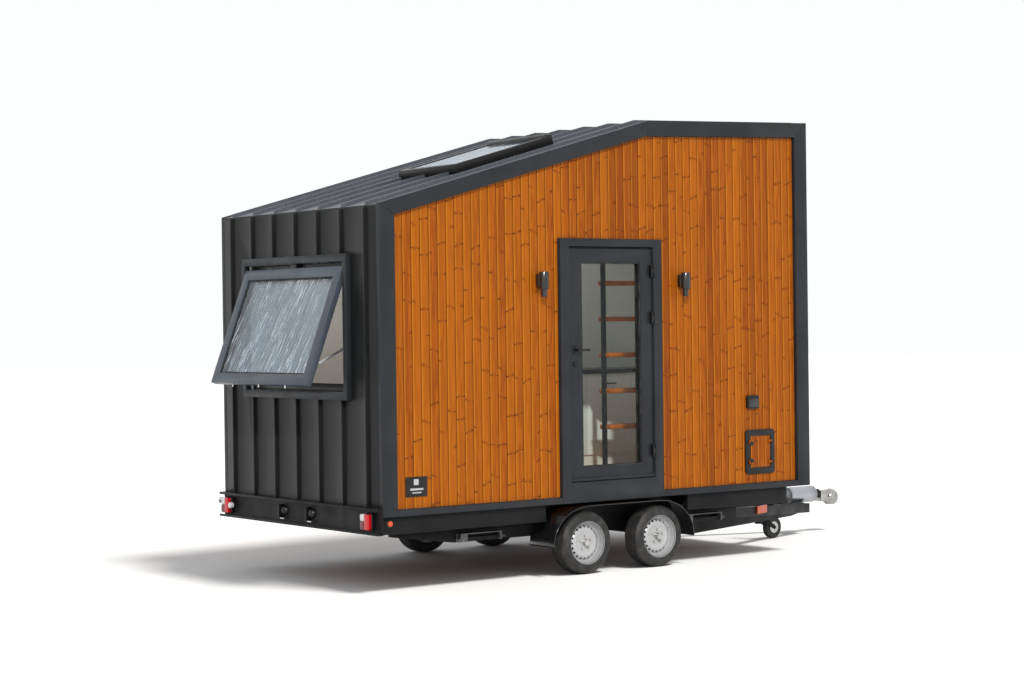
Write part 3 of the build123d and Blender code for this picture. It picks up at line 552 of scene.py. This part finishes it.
def islands(node):
    """The low and high corners of each separate solid in a CAD node."""
    mesh = frame["nodes"][node].data
    spot = {}
    group = list(range(len(mesh.vertices)))

    def head(index):
        while group[index] != index:
            index = group[index]
        return index

    for vertex in mesh.vertices:
        key = tuple(round(c, 5) for c in vertex.co)
        group[vertex.index] = spot.setdefault(key, vertex.index)
    for edge in mesh.edges:
        a, b = head(edge.vertices[0]), head(edge.vertices[1])
        group[max(a, b)] = min(a, b)
    found = {}
    for vertex in mesh.vertices:
        found.setdefault(head(vertex.index), []).append(vertex.co)
    boxes = [([min(c[i] for c in cos) for i in range(3)], [max(c[i] for c in cos) for i in range(3)])
             for cos in found.values()]
    return sorted(boxes, key=lambda b: (b[0][1], b[0][0]))


def pane_rim(node, width, proud):
    """A ring round a pane's edge, standing a little proud of both its faces."""
    ring = cad_copy(node, node + "_gasket")

    def cut():
        weld()
        bpy.ops.object.mode_set(mode="OBJECT")
        biggest = max(p.area for p in ring.data.polygons)
        choose(ring, "faces", lambda p: p.area > biggest * 0.8)
        bpy.ops.mesh.inset(thickness=width, depth=0)
        bpy.ops.mesh.delete(type="FACE")

    edit(ring, cut)
    bridged(ring)

    def swell():
        bpy.ops.transform.shrink_fatten(value=proud)

    edit(ring, swell)
    return ring


def roof_line(x):
    """Height of the fascias' top edge at x, from the rear wall's face."""
    if x <= KNEE_X:
        return EAVE + x * math.tan(SLOPE)
    return KNEE + (x - KNEE_X) * math.tan(FLAT)


def under_fascia(x):
    if x <= KNEE_X:
        return roof_line(x) - 0.122 / math.cos(SLOPE) - 0.004
    return roof_line(x) - 0.132 / math.cos(FLAT) - 0.004


def boarding():
    """Single boards on both long sides, cut round the door, the hatch and the slope."""
    door_low, door_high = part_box("door_casing")
    left, right = REAR + 0.144, REAR + HOUSE - 0.152
    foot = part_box("timber_cladding")[0][2]
    hole = (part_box("hatch_door")[0][0] - 0.003, REAR + 4.165, 0.7885, 1.0755)
    pattern = brick("board", (0, -TIMBER, 0), (BOARD, -TIMBER + 0.022, 1))

    def long_front_edge(edge):
        a, b = [pattern.data.vertices[v].co for v in edge.vertices]
        return max(a.y, b.y) < -TIMBER + 0.001 and abs(a.x - b.x) < 0.001

    def chamfer():
        choose(pattern, "edges", long_front_edge)
        bpy.ops.mesh.bevel(offset=0.0045, segments=2, affect="EDGES")

    edit(pattern, chamfer, everything=False)

    def strip(name, x0, x1, z0, z1, side):
        board = copied(pattern, name)
        for vertex in board.data.vertices:
            co = vertex.co
            share = co.x / BOARD
            flank = 0.0 if share < 0.1 else 1.0 if share > 0.9 else share
            inset = (share - flank) * BOARD
            x = (x0 if flank == 0.0 else x1) + inset
            top = under_fascia(x - REAR) if z1 is None else z1
            vertex.co = (x, co.y, z0 if co.z < 0.5 else top)
        if side > 0:
            board.data.transform(Matrix.Scale(-1, 4, (0, 1, 0)))
            board.data.flip_normals()
        return board

    for side, label in ((-1, "door_side"), (1, "far_side")):
        breaks = [left, right]
        step = REAR + 0.147
        while step < right:
            if step > left + 0.006:
                breaks.append(step)
            step += BOARD
        if side < 0:
            breaks += [door_low[0] - 0.004, door_high[0] + 0.004, hole[0], hole[1]]
        breaks = sorted(set(round(b, 5) for b in breaks))
        made = []
        for x0, x1 in zip(breaks, breaks[1:]):
            if x1 - x0 < 0.004:
                continue
            middle = (x0 + x1) / 2
            spans = [(foot, None)]
            if side < 0 and door_low[0] - 0.004 < middle < door_high[0] + 0.004:
                spans = [(door_high[2] + 0.004, None)]
            if side < 0 and hole[0] < middle < hole[1]:
                spans = [(foot, hole[2]), (hole[3], None)]
            gap = 0.0004
            made += [strip("board", x0 + gap, x1 - gap, z0, z1, side) for z0, z1 in spans]
        whole = joined(label + "_boards", made)
        smooth(whole, 20)
        place(whole, "house", "stained_timber", TIMBER_BOARDS, ("timber_cladding",))
    bpy.data.objects.remove(pattern)


def metal_skin():
    refined("wall_metal_cladding", 0.004, SEAM_METAL, "seam_metal")
    refined("roof_metal_cladding", 0.0015, ROOF_SHEET_PAINTED_LIGHTER, "seam_metal")
    refined("near_fascia", 0.003, ANTHRACITE, "anthracite_metal")
    refined("far_fascia", 0.003, ANTHRACITE, "anthracite_metal")


def walls():
    for node in ("door_wall_rear", "door_wall_front", "door_wall_over", "far_wall", "rear_wall",
                 "front_wall"):
        coated(frame["nodes"][node], WHITE)
    coated(frame["nodes"]["roof"], CEILING)
    coated(frame["nodes"]["floor"], DECK)


def door():
    refined("door_casing", 0.003, ANTHRACITE, "anthracite_metal")
    refined("door_leaf", 0.004, ANTHRACITE, "anthracite_metal")
    refined("door_hinges_and_roses", 0.0012, BLACK, "black_fittings")
    refined("door_lever", 0.004, BLACK, "black_fittings", 3)
    coated(frame["nodes"]["door_glass"], CLEAR)
    low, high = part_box("door_glass")
    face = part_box("door_leaf")[0][1]
    beads = []
    for y0, y1 in ((face + 0.004, low[1]), (high[1], face + 0.064)):
        ring = brick("bead", (low[0], y0, low[2]), (high[0], y1, high[2]))

        def hollow():
            choose(ring, "faces", lambda p: abs(p.normal.y) > 0.9)
            bpy.ops.mesh.inset(thickness=0.012, depth=0)
            bpy.ops.mesh.delete(type="FACE")
            bpy.ops.mesh.select_all(action="SELECT")

        edit(ring, hollow, everything=False)
        beads.append(bridged(ring))
    place(joined("door_glazing_beads", beads), "door", "black_fittings", GASKET)
    leaf_low, leaf_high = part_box("door_leaf")
    seal = frame_ring("door_seal", (leaf_low[0] - 0.004, face + 0.008, leaf_low[2] - 0.003),
                      (leaf_high[0] + 0.004, face + 0.030, leaf_high[2] + 0.010), 0.0042, "y")
    place(seal, "door", "black_fittings", GASKET)
    sill_low = (leaf_low[0] + 0.002, face - 0.012, leaf_low[2] + 0.006)
    drip = brick("drip", sill_low, (leaf_high[0] - 0.002, face + 0.001, leaf_low[2] + 0.030))

    def top_front_edge(edge):
        ends = [drip.data.vertices[v].co for v in edge.vertices]
        return all(end.y < sill_low[1] + 0.001 and end.z > sill_low[2] + 0.02 for end in ends)

    def nose():
        choose(drip, "edges", top_front_edge)
        bpy.ops.mesh.bevel(offset=0.009, segments=3, affect="EDGES")

    edit(drip, nose, everything=False)
    drip.name = "door_drip_rail"
    place(smooth(drip), "door", "anthracite_metal", ANTHRACITE)
    lock = turned("lock_rose", [(0, 0.0001), (0, 0.024), (-0.006, 0.024), (-0.011, 0.019), (-0.011, 0.011),
                                (-0.014, 0.010), (-0.014, 0.0001)],
                  (leaf_low[0] + 0.062, face - 0.0005, 1.757), "y", 32)
    place(lock, "door", "black_fittings", BLACK)


def bridged(ring):
    """Closes the inner walls of a ring whose two faces were taken out."""
    def bridge():
        bpy.ops.mesh.select_mode(type="EDGE")
        bpy.ops.mesh.select_all(action="DESELECT")
        bpy.ops.mesh.select_non_manifold()
        bpy.ops.mesh.bridge_edge_loops()
        bpy.ops.mesh.select_all(action="SELECT")
        bpy.ops.mesh.normals_make_consistent(inside=False)

    edit(ring, bridge)
    return ring


def frame_ring(name, low, high, width, axis):
    """A rectangular frame of even width, open along the axis."""
    ring = brick(name, low, high)
    index = "xyz".index(axis)

    def hollow():
        choose(ring, "faces", lambda p: abs(p.normal[index]) > 0.9)
        bpy.ops.mesh.inset(thickness=width, depth=0)
        bpy.ops.mesh.delete(type="FACE")

    edit(ring, hollow, everything=False)
    return bridged(ring)


def rear_window():
    refined("window_casing", 0.004, ANTHRACITE, "anthracite_metal")
    refined("window_sash", 0.004, SASH_GREY_PAINTED_SKY, "anthracite_metal")
    coated(frame["nodes"]["window_glass"], WINDOW)
    refined("window_stays", 0.001, ZINC, "bright_stay")
    place(pane_rim("window_glass", 0.014, 0.0025), "house", "black_fittings", GASKET)
    bracket = brick("friction_hinge", (REAR - 0.030, -0.045, 2.572), (REAR + 0.020, 0.045, 2.618))
    place(eased(bracket, 0.004), "house", "black_fittings", BLACK)
    rail = brick("window_head_rail", (REAR + 0.014, -0.762, 2.560), (REAR + 0.046, 0.762, 2.618))
    place(eased(rail, 0.003), "house", "black_fittings", BLACK)
    rail = brick("window_sill_rail", (REAR + 0.014, -0.762, 1.562), (REAR + 0.046, 0.762, 1.636))
    place(eased(rail, 0.003), "house", "black_fittings", BLACK)
    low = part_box("window_sash")[0]
    nubs = [eased(barrel("nub", (low[0] + 0.020, y, low[2] + 0.001), 0.008, 0.026, "z", 16), 0.002)
            for y in (-0.42, 0.0, 0.42)]
    place(joined("window_latch_nubs", nubs), "house", "bright_stay", BRIGHT)


def skylight():
    refined("skylight_frame", 0.006, BLACK, "anthracite_metal")
    coated(frame["nodes"]["skylight_glass"], SKY_PANE)
    low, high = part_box("skylight_frame")
    hood = eased(barrel("skylight_hood", (high[0] - 0.062, (low[1] + high[1]) / 2, high[2] - 0.050), 0.046,
                        high[1] - low[1] - 0.006, "y", 32), 0.016, 4)
    place(hood, "house", "anthracite_metal", BLACK)


LAMP_OUTLINE = [(0.0, 0.0001), (0.0, 0.020), (0.003, 0.024), (0.060, 0.026), (0.062, 0.036),
                (0.066, 0.041), (0.200, 0.041), (0.205, 0.038), (0.207, 0.034), (0.207, 0.0001)]


def wall_lamps():
    low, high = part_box("wall_lamps")
    lamps = []
    radius = 0.041
    for x in (low[0] + radius, high[0] - radius):
        y = low[1] + radius
        z = 2.380
        lamps.append(turned("lamp", LAMP_OUTLINE, (x, y, z - 0.062), "z", 48))
        plate = brick("plate", (x - 0.040, y + 0.020, z + 0.018), (x + 0.040, high[1], z + 0.127))
        lamps.append(eased(plate, 0.008, 3))
    place(joined("wall_lanterns", lamps), "house", "lamp_black", GLOSS_BLACK, ("wall_lamps",))


def fittings():
    refined("inlet_cover", 0.006, BLACK, "black_fittings", 3)
    refined("hatch_frame", 0.004, BLACK, "hatch_frame", 3)
    refined("hatch_door", 0.002, TIMBER_BOARDS, "stained_timber")
    low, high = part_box("inlet_cover")
    lid = eased(brick("inlet_lid", (low[0] + 0.014, low[1] - 0.006, low[2] + 0.014),
                      (high[0] - 0.014, low[1] + 0.002, high[2] - 0.030)), 0.004, 3)
    place(lid, "house", "black_fittings", GLOSS_BLACK)
    plate = brick("name_plate", (REAR + 0.232, -TIMBER - 0.006, 0.745), (REAR + 0.437, -TIMBER, 0.903))
    eased(plate, 0.002)
    place(plate, "house", "black_fittings", BLACK)
    face = -TIMBER - 0.0062
    marks = [eased(brick("mark", (REAR + x0, face - 0.0016, z0), (REAR + x1, face, z1)), width, segments)
             for x0, x1, z0, z1, width, segments in ((0.307, 0.353, 0.838, 0.884, 0.006, 3),
                                                     (0.272, 0.398, 0.796, 0.812, 0.003, 2),
                                                     (0.292, 0.378, 0.772, 0.782, 0.002, 2))]
    place(joined("name_plate_marks", marks), "house", "bright_stay", RIM_PAINT)
    low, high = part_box("hatch_door")
    latches = [eased(brick("latch", (low[0] + 0.004, low[1] - 0.004, z - 0.016),
                           (low[0] + 0.052, low[1] + 0.012, z + 0.016)), 0.007, 3)
               for z in (low[2] + 0.060, high[2] - 0.060)]
    place(joined("hatch_latches", latches), body_of("hatch_door"), "black_fittings", BLACK)


def interior():
    """Kitchen, its fronts and pulls, and the ladder."""
    refined("kitchen_worktop", 0.003, WORKTOP, "worktop_black")
    refined("kitchen_unit", 0.002, CABINET, "kitchen_white")
    refined("ladder_uprights", 0.003, BLACK, "black_steel")
    treads = [eased(brick("tread", (low[0] - 0.012, low[1], low[2] - 0.012), high), 0.012, 4)
              for low, high in islands("ladder_treads")]
    place(joined("rounded_treads", treads), "house", "tread_timber", TREAD_WOOD, ("ladder_treads",))
    low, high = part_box("kitchen_unit")
    fronts, pulls = [], []
    count = 4
    width = (high[0] - low[0]) / count
    for index in range(count):
        x0 = low[0] + index * width
        fronts.append(eased(brick("front", (x0 + 0.003, low[1] - 0.018, low[2] + 0.10),
                                  (x0 + width - 0.003, low[1], high[2] - 0.03)), 0.002))
        pulls.append(eased(brick("pull", (x0 + width / 2 - 0.07, low[1] - 0.040, high[2] - 0.10),
                                 (x0 + width / 2 + 0.07, low[1] - 0.028, high[2] - 0.088)), 0.003))
        for side in (-0.06, 0.06):
            spot = (x0 + width / 2 + side, low[1] - 0.024, high[2] - 0.094)
            pulls.append(barrel("post", spot, 0.004, 0.014, "y", 12))
    place(joined("cabinet_fronts", fronts), "house", "kitchen_white", CABINET)
    place(joined("cabinet_pulls", pulls), "house", "black_fittings", BLACK)


def chassis():
    refined("floor_frame", 0.003, STEEL, "black_steel")
    refined("rear_channel", 0.0015, STEEL, "black_steel")
    refined("drawbar", 0.004, STEEL, "black_steel")
    refined("axles", 0.005, STEEL, "axle_steel")
    refined("steady_brackets", 0.001, GALVANISED, "galvanised")
    for node in ("rear_near_steady", "rear_far_steady", "front_near_steady", "front_far_steady"):
        refined(node, 0.003, STEEL, "galvanised")
        low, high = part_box(node)
        x, y, z = low[0] + 0.012, (low[1] + high[1]) / 2, (low[2] + high[2]) / 2
        nut = eased(barrel("nut", (x, y, z), 0.016, 0.050, "x", 6), 0.002)
        tab = brick("tab", (x - 0.004, y - 0.034, z - 0.010), (x + 0.002, y + 0.034, z + 0.018))
        eased(tab, 0.002)
        pin = eased(barrel("pin", (x, y - 0.030, z - 0.030), 0.006, 0.050, "z", 12), 0.002)
        place(joined(node + "_screw_nut", [nut, tab, pin]), body_of(node), "galvanised", ZINC)
    refined("mudguards", 0.0015, GLOSS_BLACK, "mudguard_black")
    refined("jockey_clamp", 0.002, STEEL, "black_steel")
    refined("jockey_post", 0.002, ZINC, "black_steel")
    refined("jockey_fork", 0.003, STEEL, "black_steel")


TYRE_EDGE = [(0.014, 0.1735), (0.006, 0.182), (0.001, 0.196), (0.000, 0.212), (0.003, 0.226),
             (0.010, 0.240), (0.016, 0.248), (0.018, 0.2505), (0.026, 0.2580), (0.038, 0.2610)]
TYRE_GROOVES = ((0.052, (0, 0.002, 0.008, 0.010)), (0.078, (0, 0.002, 0.009, 0.011)),
                (0.106, (0, 0.002, 0.009, 0.011)), (0.133, (0, 0.002, 0.008, 0.010)))
RIM_OUTLINE = [(0.011, 0.1840), (0.007, 0.1815), (0.009, 0.1775), (0.018, 0.1740), (0.030, 0.1715),
               (0.046, 0.1690), (0.060, 0.1655), (0.068, 0.1600), (0.070, 0.1540), (0.066, 0.1480),
               (0.058, 0.1400), (0.050, 0.1310), (0.044, 0.1210), (0.041, 0.1090), (0.042, 0.0980),
               (0.047, 0.0900), (0.049, 0.0800), (0.048, 0.0620), (0.047, 0.0420), (0.047, 0.0300),
               (0.052, 0.0300), (0.052, 0.0620), (0.053, 0.0820), (0.046, 0.1080), (0.055, 0.1310),
               (0.072, 0.1500), (0.078, 0.1600), (0.110, 0.1600), (0.182, 0.1640), (0.184, 0.1725),
               (0.110, 0.1695), (0.070, 0.1700), (0.014, 0.1735)]


def wheels():
    """Ventilated silver rims and grooved tyres, made once and copied."""
    centre_low, centre_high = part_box("near_rear_tyre")
    centre = (Vector(centre_low) + Vector(centre_high)) / 2
    centre.y = centre_low[1]
    width = centre_high[1] - centre_low[1]
    groove = [(start + step, radius) for start, widths in TYRE_GROOVES
              for step, radius in zip(widths, (0.2625, 0.2545, 0.2545, 0.2625))]
    outline = TYRE_EDGE + groove + [(width - a, r) for a, r in reversed(TYRE_EDGE)]
    tyre = turned("tyre", outline, centre, "y", 96)
    rim = turned("rim", RIM_OUTLINE, centre, "y", 120)
    drills = []
    for index in range(20):
        angle = 2 * math.pi * index / 20
        spot = centre + Vector((0.1350 * math.cos(angle), 0.055, 0.1350 * math.sin(angle)))
        drills.append(barrel("drill", spot, 0.0095, 0.08, "y", 14))
    for index in range(5):
        angle = 2 * math.pi * (index + 0.25) / 5
        spot = centre + Vector((0.056 * math.cos(angle), 0.05, 0.056 * math.sin(angle)))
        drills.append(barrel("drill", spot, 0.006, 0.02, "y", 12))
    drill = joined("drills", drills)
    modified(rim, "BOOLEAN", operation="DIFFERENCE", solver="EXACT", object=drill)
    bpy.data.objects.remove(drill)
    smooth(rim, 32)
    bolts = []
    for index in range(5):
        angle = 2 * math.pi * (index + 0.25) / 5
        spot = centre + Vector((0.056 * math.cos(angle), 0.040, 0.056 * math.sin(angle)))
        bolts.append(eased(barrel("bolt", spot, 0.0105, 0.018, "y", 6), 0.0015))
    cap = turned("cap", [(0.050, 0.0001), (0.050, 0.0300), (0.020, 0.0290), (0.012, 0.0250),
                         (0.009, 0.0180), (0.008, 0.0001)], centre, "y", 40)
    valve = barrel("valve", centre + Vector((0.118, 0.036, 0.062)), 0.004, 0.03, "y", 10)
    dark = joined("hardware", bolts + [cap, valve])
    for name in ("near_rear", "near_front", "far_rear", "far_front"):
        low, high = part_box(name + "_tyre")
        middle = Vector(((low[0] + high[0]) / 2, 0, 0))
        far = name.startswith("far")
        about = Vector((centre[0], 0, 0))
        move = middle - about
        turn = math.pi if far else 0.0
        body = name + "_wheel"
        for piece, label, slot, material, stands_for in (
                (tyre, "_road_tyre", "tyre", RUBBER, (name + "_tyre",)),
                (rim, "_vented_rim", "rim_silver", RIM_PAINT, (name + "_rim",)),
                (dark, "_bolts_and_cap", "rim_silver", BRIGHT, ())):
            place(copied(piece, name + label, move, turn, about), body, slot, material, stands_for)
    for piece in (tyre, rim, dark):
        bpy.data.objects.remove(piece)


def hitch():
    refined("overrun_housing", 0.006, ZINC, "cast_silver", 3)
    refined("coupling_head", 0.010, BRIGHT, "bright_coupling", 3)
    low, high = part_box("gaiter")
    centre = (low[0], (low[1] + high[1]) / 2, (low[2] + high[2]) / 2)
    length = high[0] - low[0]
    outline = [(0, 0.030)]
    ribs = 7
    for index in range(ribs):
        start = length * index / ribs
        pitch = length / ribs
        outline += [(start + pitch * 0.10, 0.036), (start + pitch * 0.35, 0.0430),
                    (start + pitch * 0.60, 0.0430), (start + pitch * 0.90, 0.036)]
    outline += [(length, 0.030)]
    place(turned("bellows", outline, centre, "x", 48), "house", "black_rubber", GASKET, ("gaiter",))


def jockey():
    """Solid tyre on a pressed, holed rim, turned a little from the trailer's line."""
    low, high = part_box("jockey_wheel")
    centre = Vector([(a + b) / 2 for a, b in zip(low, high)])
    radius, half = (high[2] - low[2]) / 2, 0.028
    turn = math.radians(3)
    tread = [(-half, radius * 0.46), (-half, radius - 0.012), (-half + 0.005, radius - 0.004),
             (-half + 0.013, radius)]
    tyre = turned("tyre", tread + [(-a, r) for a, r in reversed(tread)], centre, "y", 64)
    disc = [(-0.021, 0.0115), (-0.021, 0.024), (-0.013, 0.026), (-0.013, 0.043), (-0.024, 0.046),
            (-0.030, 0.048), (-0.030, radius * 0.46 + 0.004)]
    rim = turned("rim", disc + [(-a, r) for a, r in reversed(disc)], centre, "y", 64)
    drills = []
    for index in range(6):
        angle = 2 * math.pi * index / 6
        spot = centre + Vector((0.0345 * math.cos(angle), 0, 0.0345 * math.sin(angle)))
        drills.append(barrel("drill", spot, 0.0070, 0.1, "y", 20))
    drill = joined("drills", drills)
    modified(rim, "BOOLEAN", operation="DIFFERENCE", solver="EXACT", object=drill)
    bpy.data.objects.remove(drill)
    smooth(rim, 32)
    body = body_of("jockey_wheel")
    for piece, name, slot, material in ((tyre, "jockey_tyre", "black_rubber", RUBBER),
                                        (rim, "jockey_rim", "rim_silver", CABINET)):
        place(copied(piece, name, turn=turn, about=centre), body, slot, material, ("jockey_wheel",))
        bpy.data.objects.remove(piece)


def lamps():
    """Three-part tail lamps, plate lamps on their hoops, and ringed side markers."""
    red, dark, clear, black, bright = [], [], [], [], []
    for low, high in islands("rear_lamps"):
        if high[1] - low[1] > 0.1:
            middle, level = (low[1] + high[1]) / 2, (low[2] + high[2]) / 2
            black.append(eased(brick("base", (low[0] + 0.040, low[1], low[2]), high), 0.006, 3))
            face = (low[0] + 0.001, low[0] + 0.046)
            red.append(eased(brick("lens", (face[0], low[1] + 0.003, low[2] + 0.003),
                                   (face[1], middle - 0.001, high[2] - 0.003)), 0.009, 3))
            dark.append(eased(brick("lens", (face[0], middle, low[2] + 0.003),
                                    (face[1], high[1] - 0.003, level + 0.004)), 0.009, 3))
            clear.append(eased(brick("lens", (face[0], middle, level + 0.005),
                                     (face[1], high[1] - 0.003, high[2] - 0.003)), 0.009, 3))
            if low[1] > 0:
                black.append(eased(brick("arm", (low[0] + 0.030, high[1] - 0.010, level + 0.010),
                                         (low[0] + 0.058, high[1] + 0.088, level + 0.044)), 0.010, 3))
                spot = (low[0] + 0.042, high[1] + 0.062, level + 0.050)
                clear.append(eased(barrel("marker", spot, 0.020, 0.026, "z", 24), 0.006, 3))
                spot = (low[0] + 0.020, low[1] - 0.030, level + 0.004)
                clear.append(eased(barrel("reversing", spot, 0.026, 0.040, "x", 28), 0.008, 3))
        else:
            middle, level = (low[1] + high[1]) / 2, (low[2] + high[2]) / 2
            half = (high[2] - low[2]) / 2
            line = [(0, 0.0001), (0, half * 0.9), (-0.012, half * 0.86), (-0.028, half * 0.62),
                    (-0.036, half * 0.3), (-0.037, 0.0001)]
            dome = turned("dome", line, (high[0], middle, level + 0.010), "x", 32)
            black.append(dome)
            black.append(eased(brick("hoop", (low[0] + 0.004, high[1] - 0.006, low[2] - 0.010),
                                     (high[0], high[1] + 0.006, high[2] + 0.016)), 0.003))
            bright.append(eased(brick("window", (low[0] - 0.002, low[1] - 0.006, low[2] - 0.012),
                                      (high[0] - 0.010, middle + 0.012, low[2] - 0.002)), 0.002))
    place(joined("tail_lamp_bases", black), "house", "black_fittings", BLACK, ("rear_lamps",))
    place(joined("tail_lamp_red", red), "house", "red_lens", RED, ("rear_lamps",))
    place(joined("tail_lamp_stop", dark), "house", "red_lens", DARK_RED, ("rear_lamps",))
    place(joined("tail_lamp_clear", clear), "house", "clear_glass", CLEAR_LENS, ("rear_lamps",))
    place(joined("plate_lamp_windows", bright), "house", "bright_stay", BRIGHT, ("rear_lamps",))
    coated(frame["nodes"]["amber_lamps"], AMBER)
    rings = []
    for low, high in islands("amber_lamps"):
        if high[0] - low[0] > 0.12:
            continue
        sign = -1 if low[1] < 0 else 1
        root = high[1] if sign < 0 else low[1]
        radius = (high[2] - low[2]) / 2
        line = [(0, radius + 0.0005), (0.010, radius + 0.0005), (0.008, radius + 0.009), (0, radius + 0.011)]
        centre = ((low[0] + high[0]) / 2, root, (low[2] + high[2]) / 2)
        rings.append(turned("ring", line, centre, "y", 40, sign))
    if rings:
        place(joined("side_marker_rings", rings), "house", "black_fittings", GASKET)


def stage():
    """Pale floor, soft lights and the camera."""
    clear_selection()
    bpy.ops.mesh.primitive_plane_add(size=160, location=(0, 0, -0.0006))
    floor = bpy.context.object
    floor.name = "studio_floor"
    f = Finish("studio_floor_paint")
    shade = f.mix(f.between(f.noise(0.35, 3), 0.3, 0.7), (0.49, 0.49, 0.49, 1), (0.51, 0.51, 0.51, 1))
    coated(floor, f.finish(f.shade("ShaderNodeBsdfPrincipled", {
        "Base Color": shade, "Roughness": f.between(f.noise(2.0, 3), 0.3, 0.7, 0.85, 0.95),
        "Specular IOR Level": 0.1})))
    world = bpy.data.worlds.new("studio")
    bpy.context.scene.world = world
    world.use_nodes = True
    background = world.node_tree.nodes["Background"]
    background.inputs[0].default_value = (0.985, 0.992, 1.0, 1)
    background.inputs[1].default_value = 1.0
    bpy.context.scene.view_settings.view_transform = "Standard"
    suns = ((2.5, 1.5, (0.46, 0.70, -0.54), "EXCLUDE"), (5.0, 14.0, (-0.12, 0.42, -0.90), "INCLUDE"))
    for number, (energy, angle, towards, state) in enumerate(suns):
        light = bpy.data.lights.new(f"sun_{number}", "SUN")
        light.energy, light.angle = energy, math.radians(angle)
        light.color = (1.0, 0.97, 0.93)
        sun = bpy.data.objects.new(f"sun_{number}", light)
        sun.rotation_euler = Vector(towards).to_track_quat("-Z", "Y").to_euler()
        bpy.context.scene.collection.objects.link(sun)
        lit = bpy.data.collections.new(f"lit_{number}")
        lit.objects.link(floor)
        lit.collection_objects[0].light_linking.link_state = state
        sun.light_linking.receiver_collection = lit
    for number, (x, y, z, size, energy) in enumerate(((3.3, 0.1, 3.40, 0.9, 5), (1.0, 0.2, 2.80, 0.9, 4))):
        light = bpy.data.lights.new(f"room_{number}", "AREA")
        light.energy, light.size = energy, size
        room = bpy.data.objects.new(f"room_{number}", light)
        room.location = (REAR + x, y, z)
        bpy.context.scene.collection.objects.link(room)
    data = bpy.data.cameras.new("camera")
    data.lens, data.sensor_width, data.clip_end = 75.2, 36.0, 300
    camera = bpy.data.objects.new("camera", data)
    bpy.context.scene.collection.objects.link(camera)
    yaw, pitch, roll = math.radians(36.88), math.radians(-0.50), math.radians(-0.73)
    ahead = Vector((math.sin(yaw) * math.cos(pitch), math.cos(yaw) * math.cos(pitch), math.sin(pitch)))
    level = Vector((math.cos(yaw), -math.sin(yaw), 0))
    above = level.cross(ahead)
    right = math.cos(roll) * level + math.sin(roll) * above
    up = -math.sin(roll) * level + math.cos(roll) * above
    turn = Matrix((right, up, -ahead)).transposed().to_4x4()
    camera.matrix_world = Matrix.Translation((REAR - 9.175, -15.176, 2.108)) @ turn
    bpy.context.scene.camera = camera


boarding()
metal_skin()
walls()
door()
rear_window()
skylight()
wall_lamps()
fittings()
interior()
chassis()
wheels()
hitch()
jockey()
lamps()
stage()
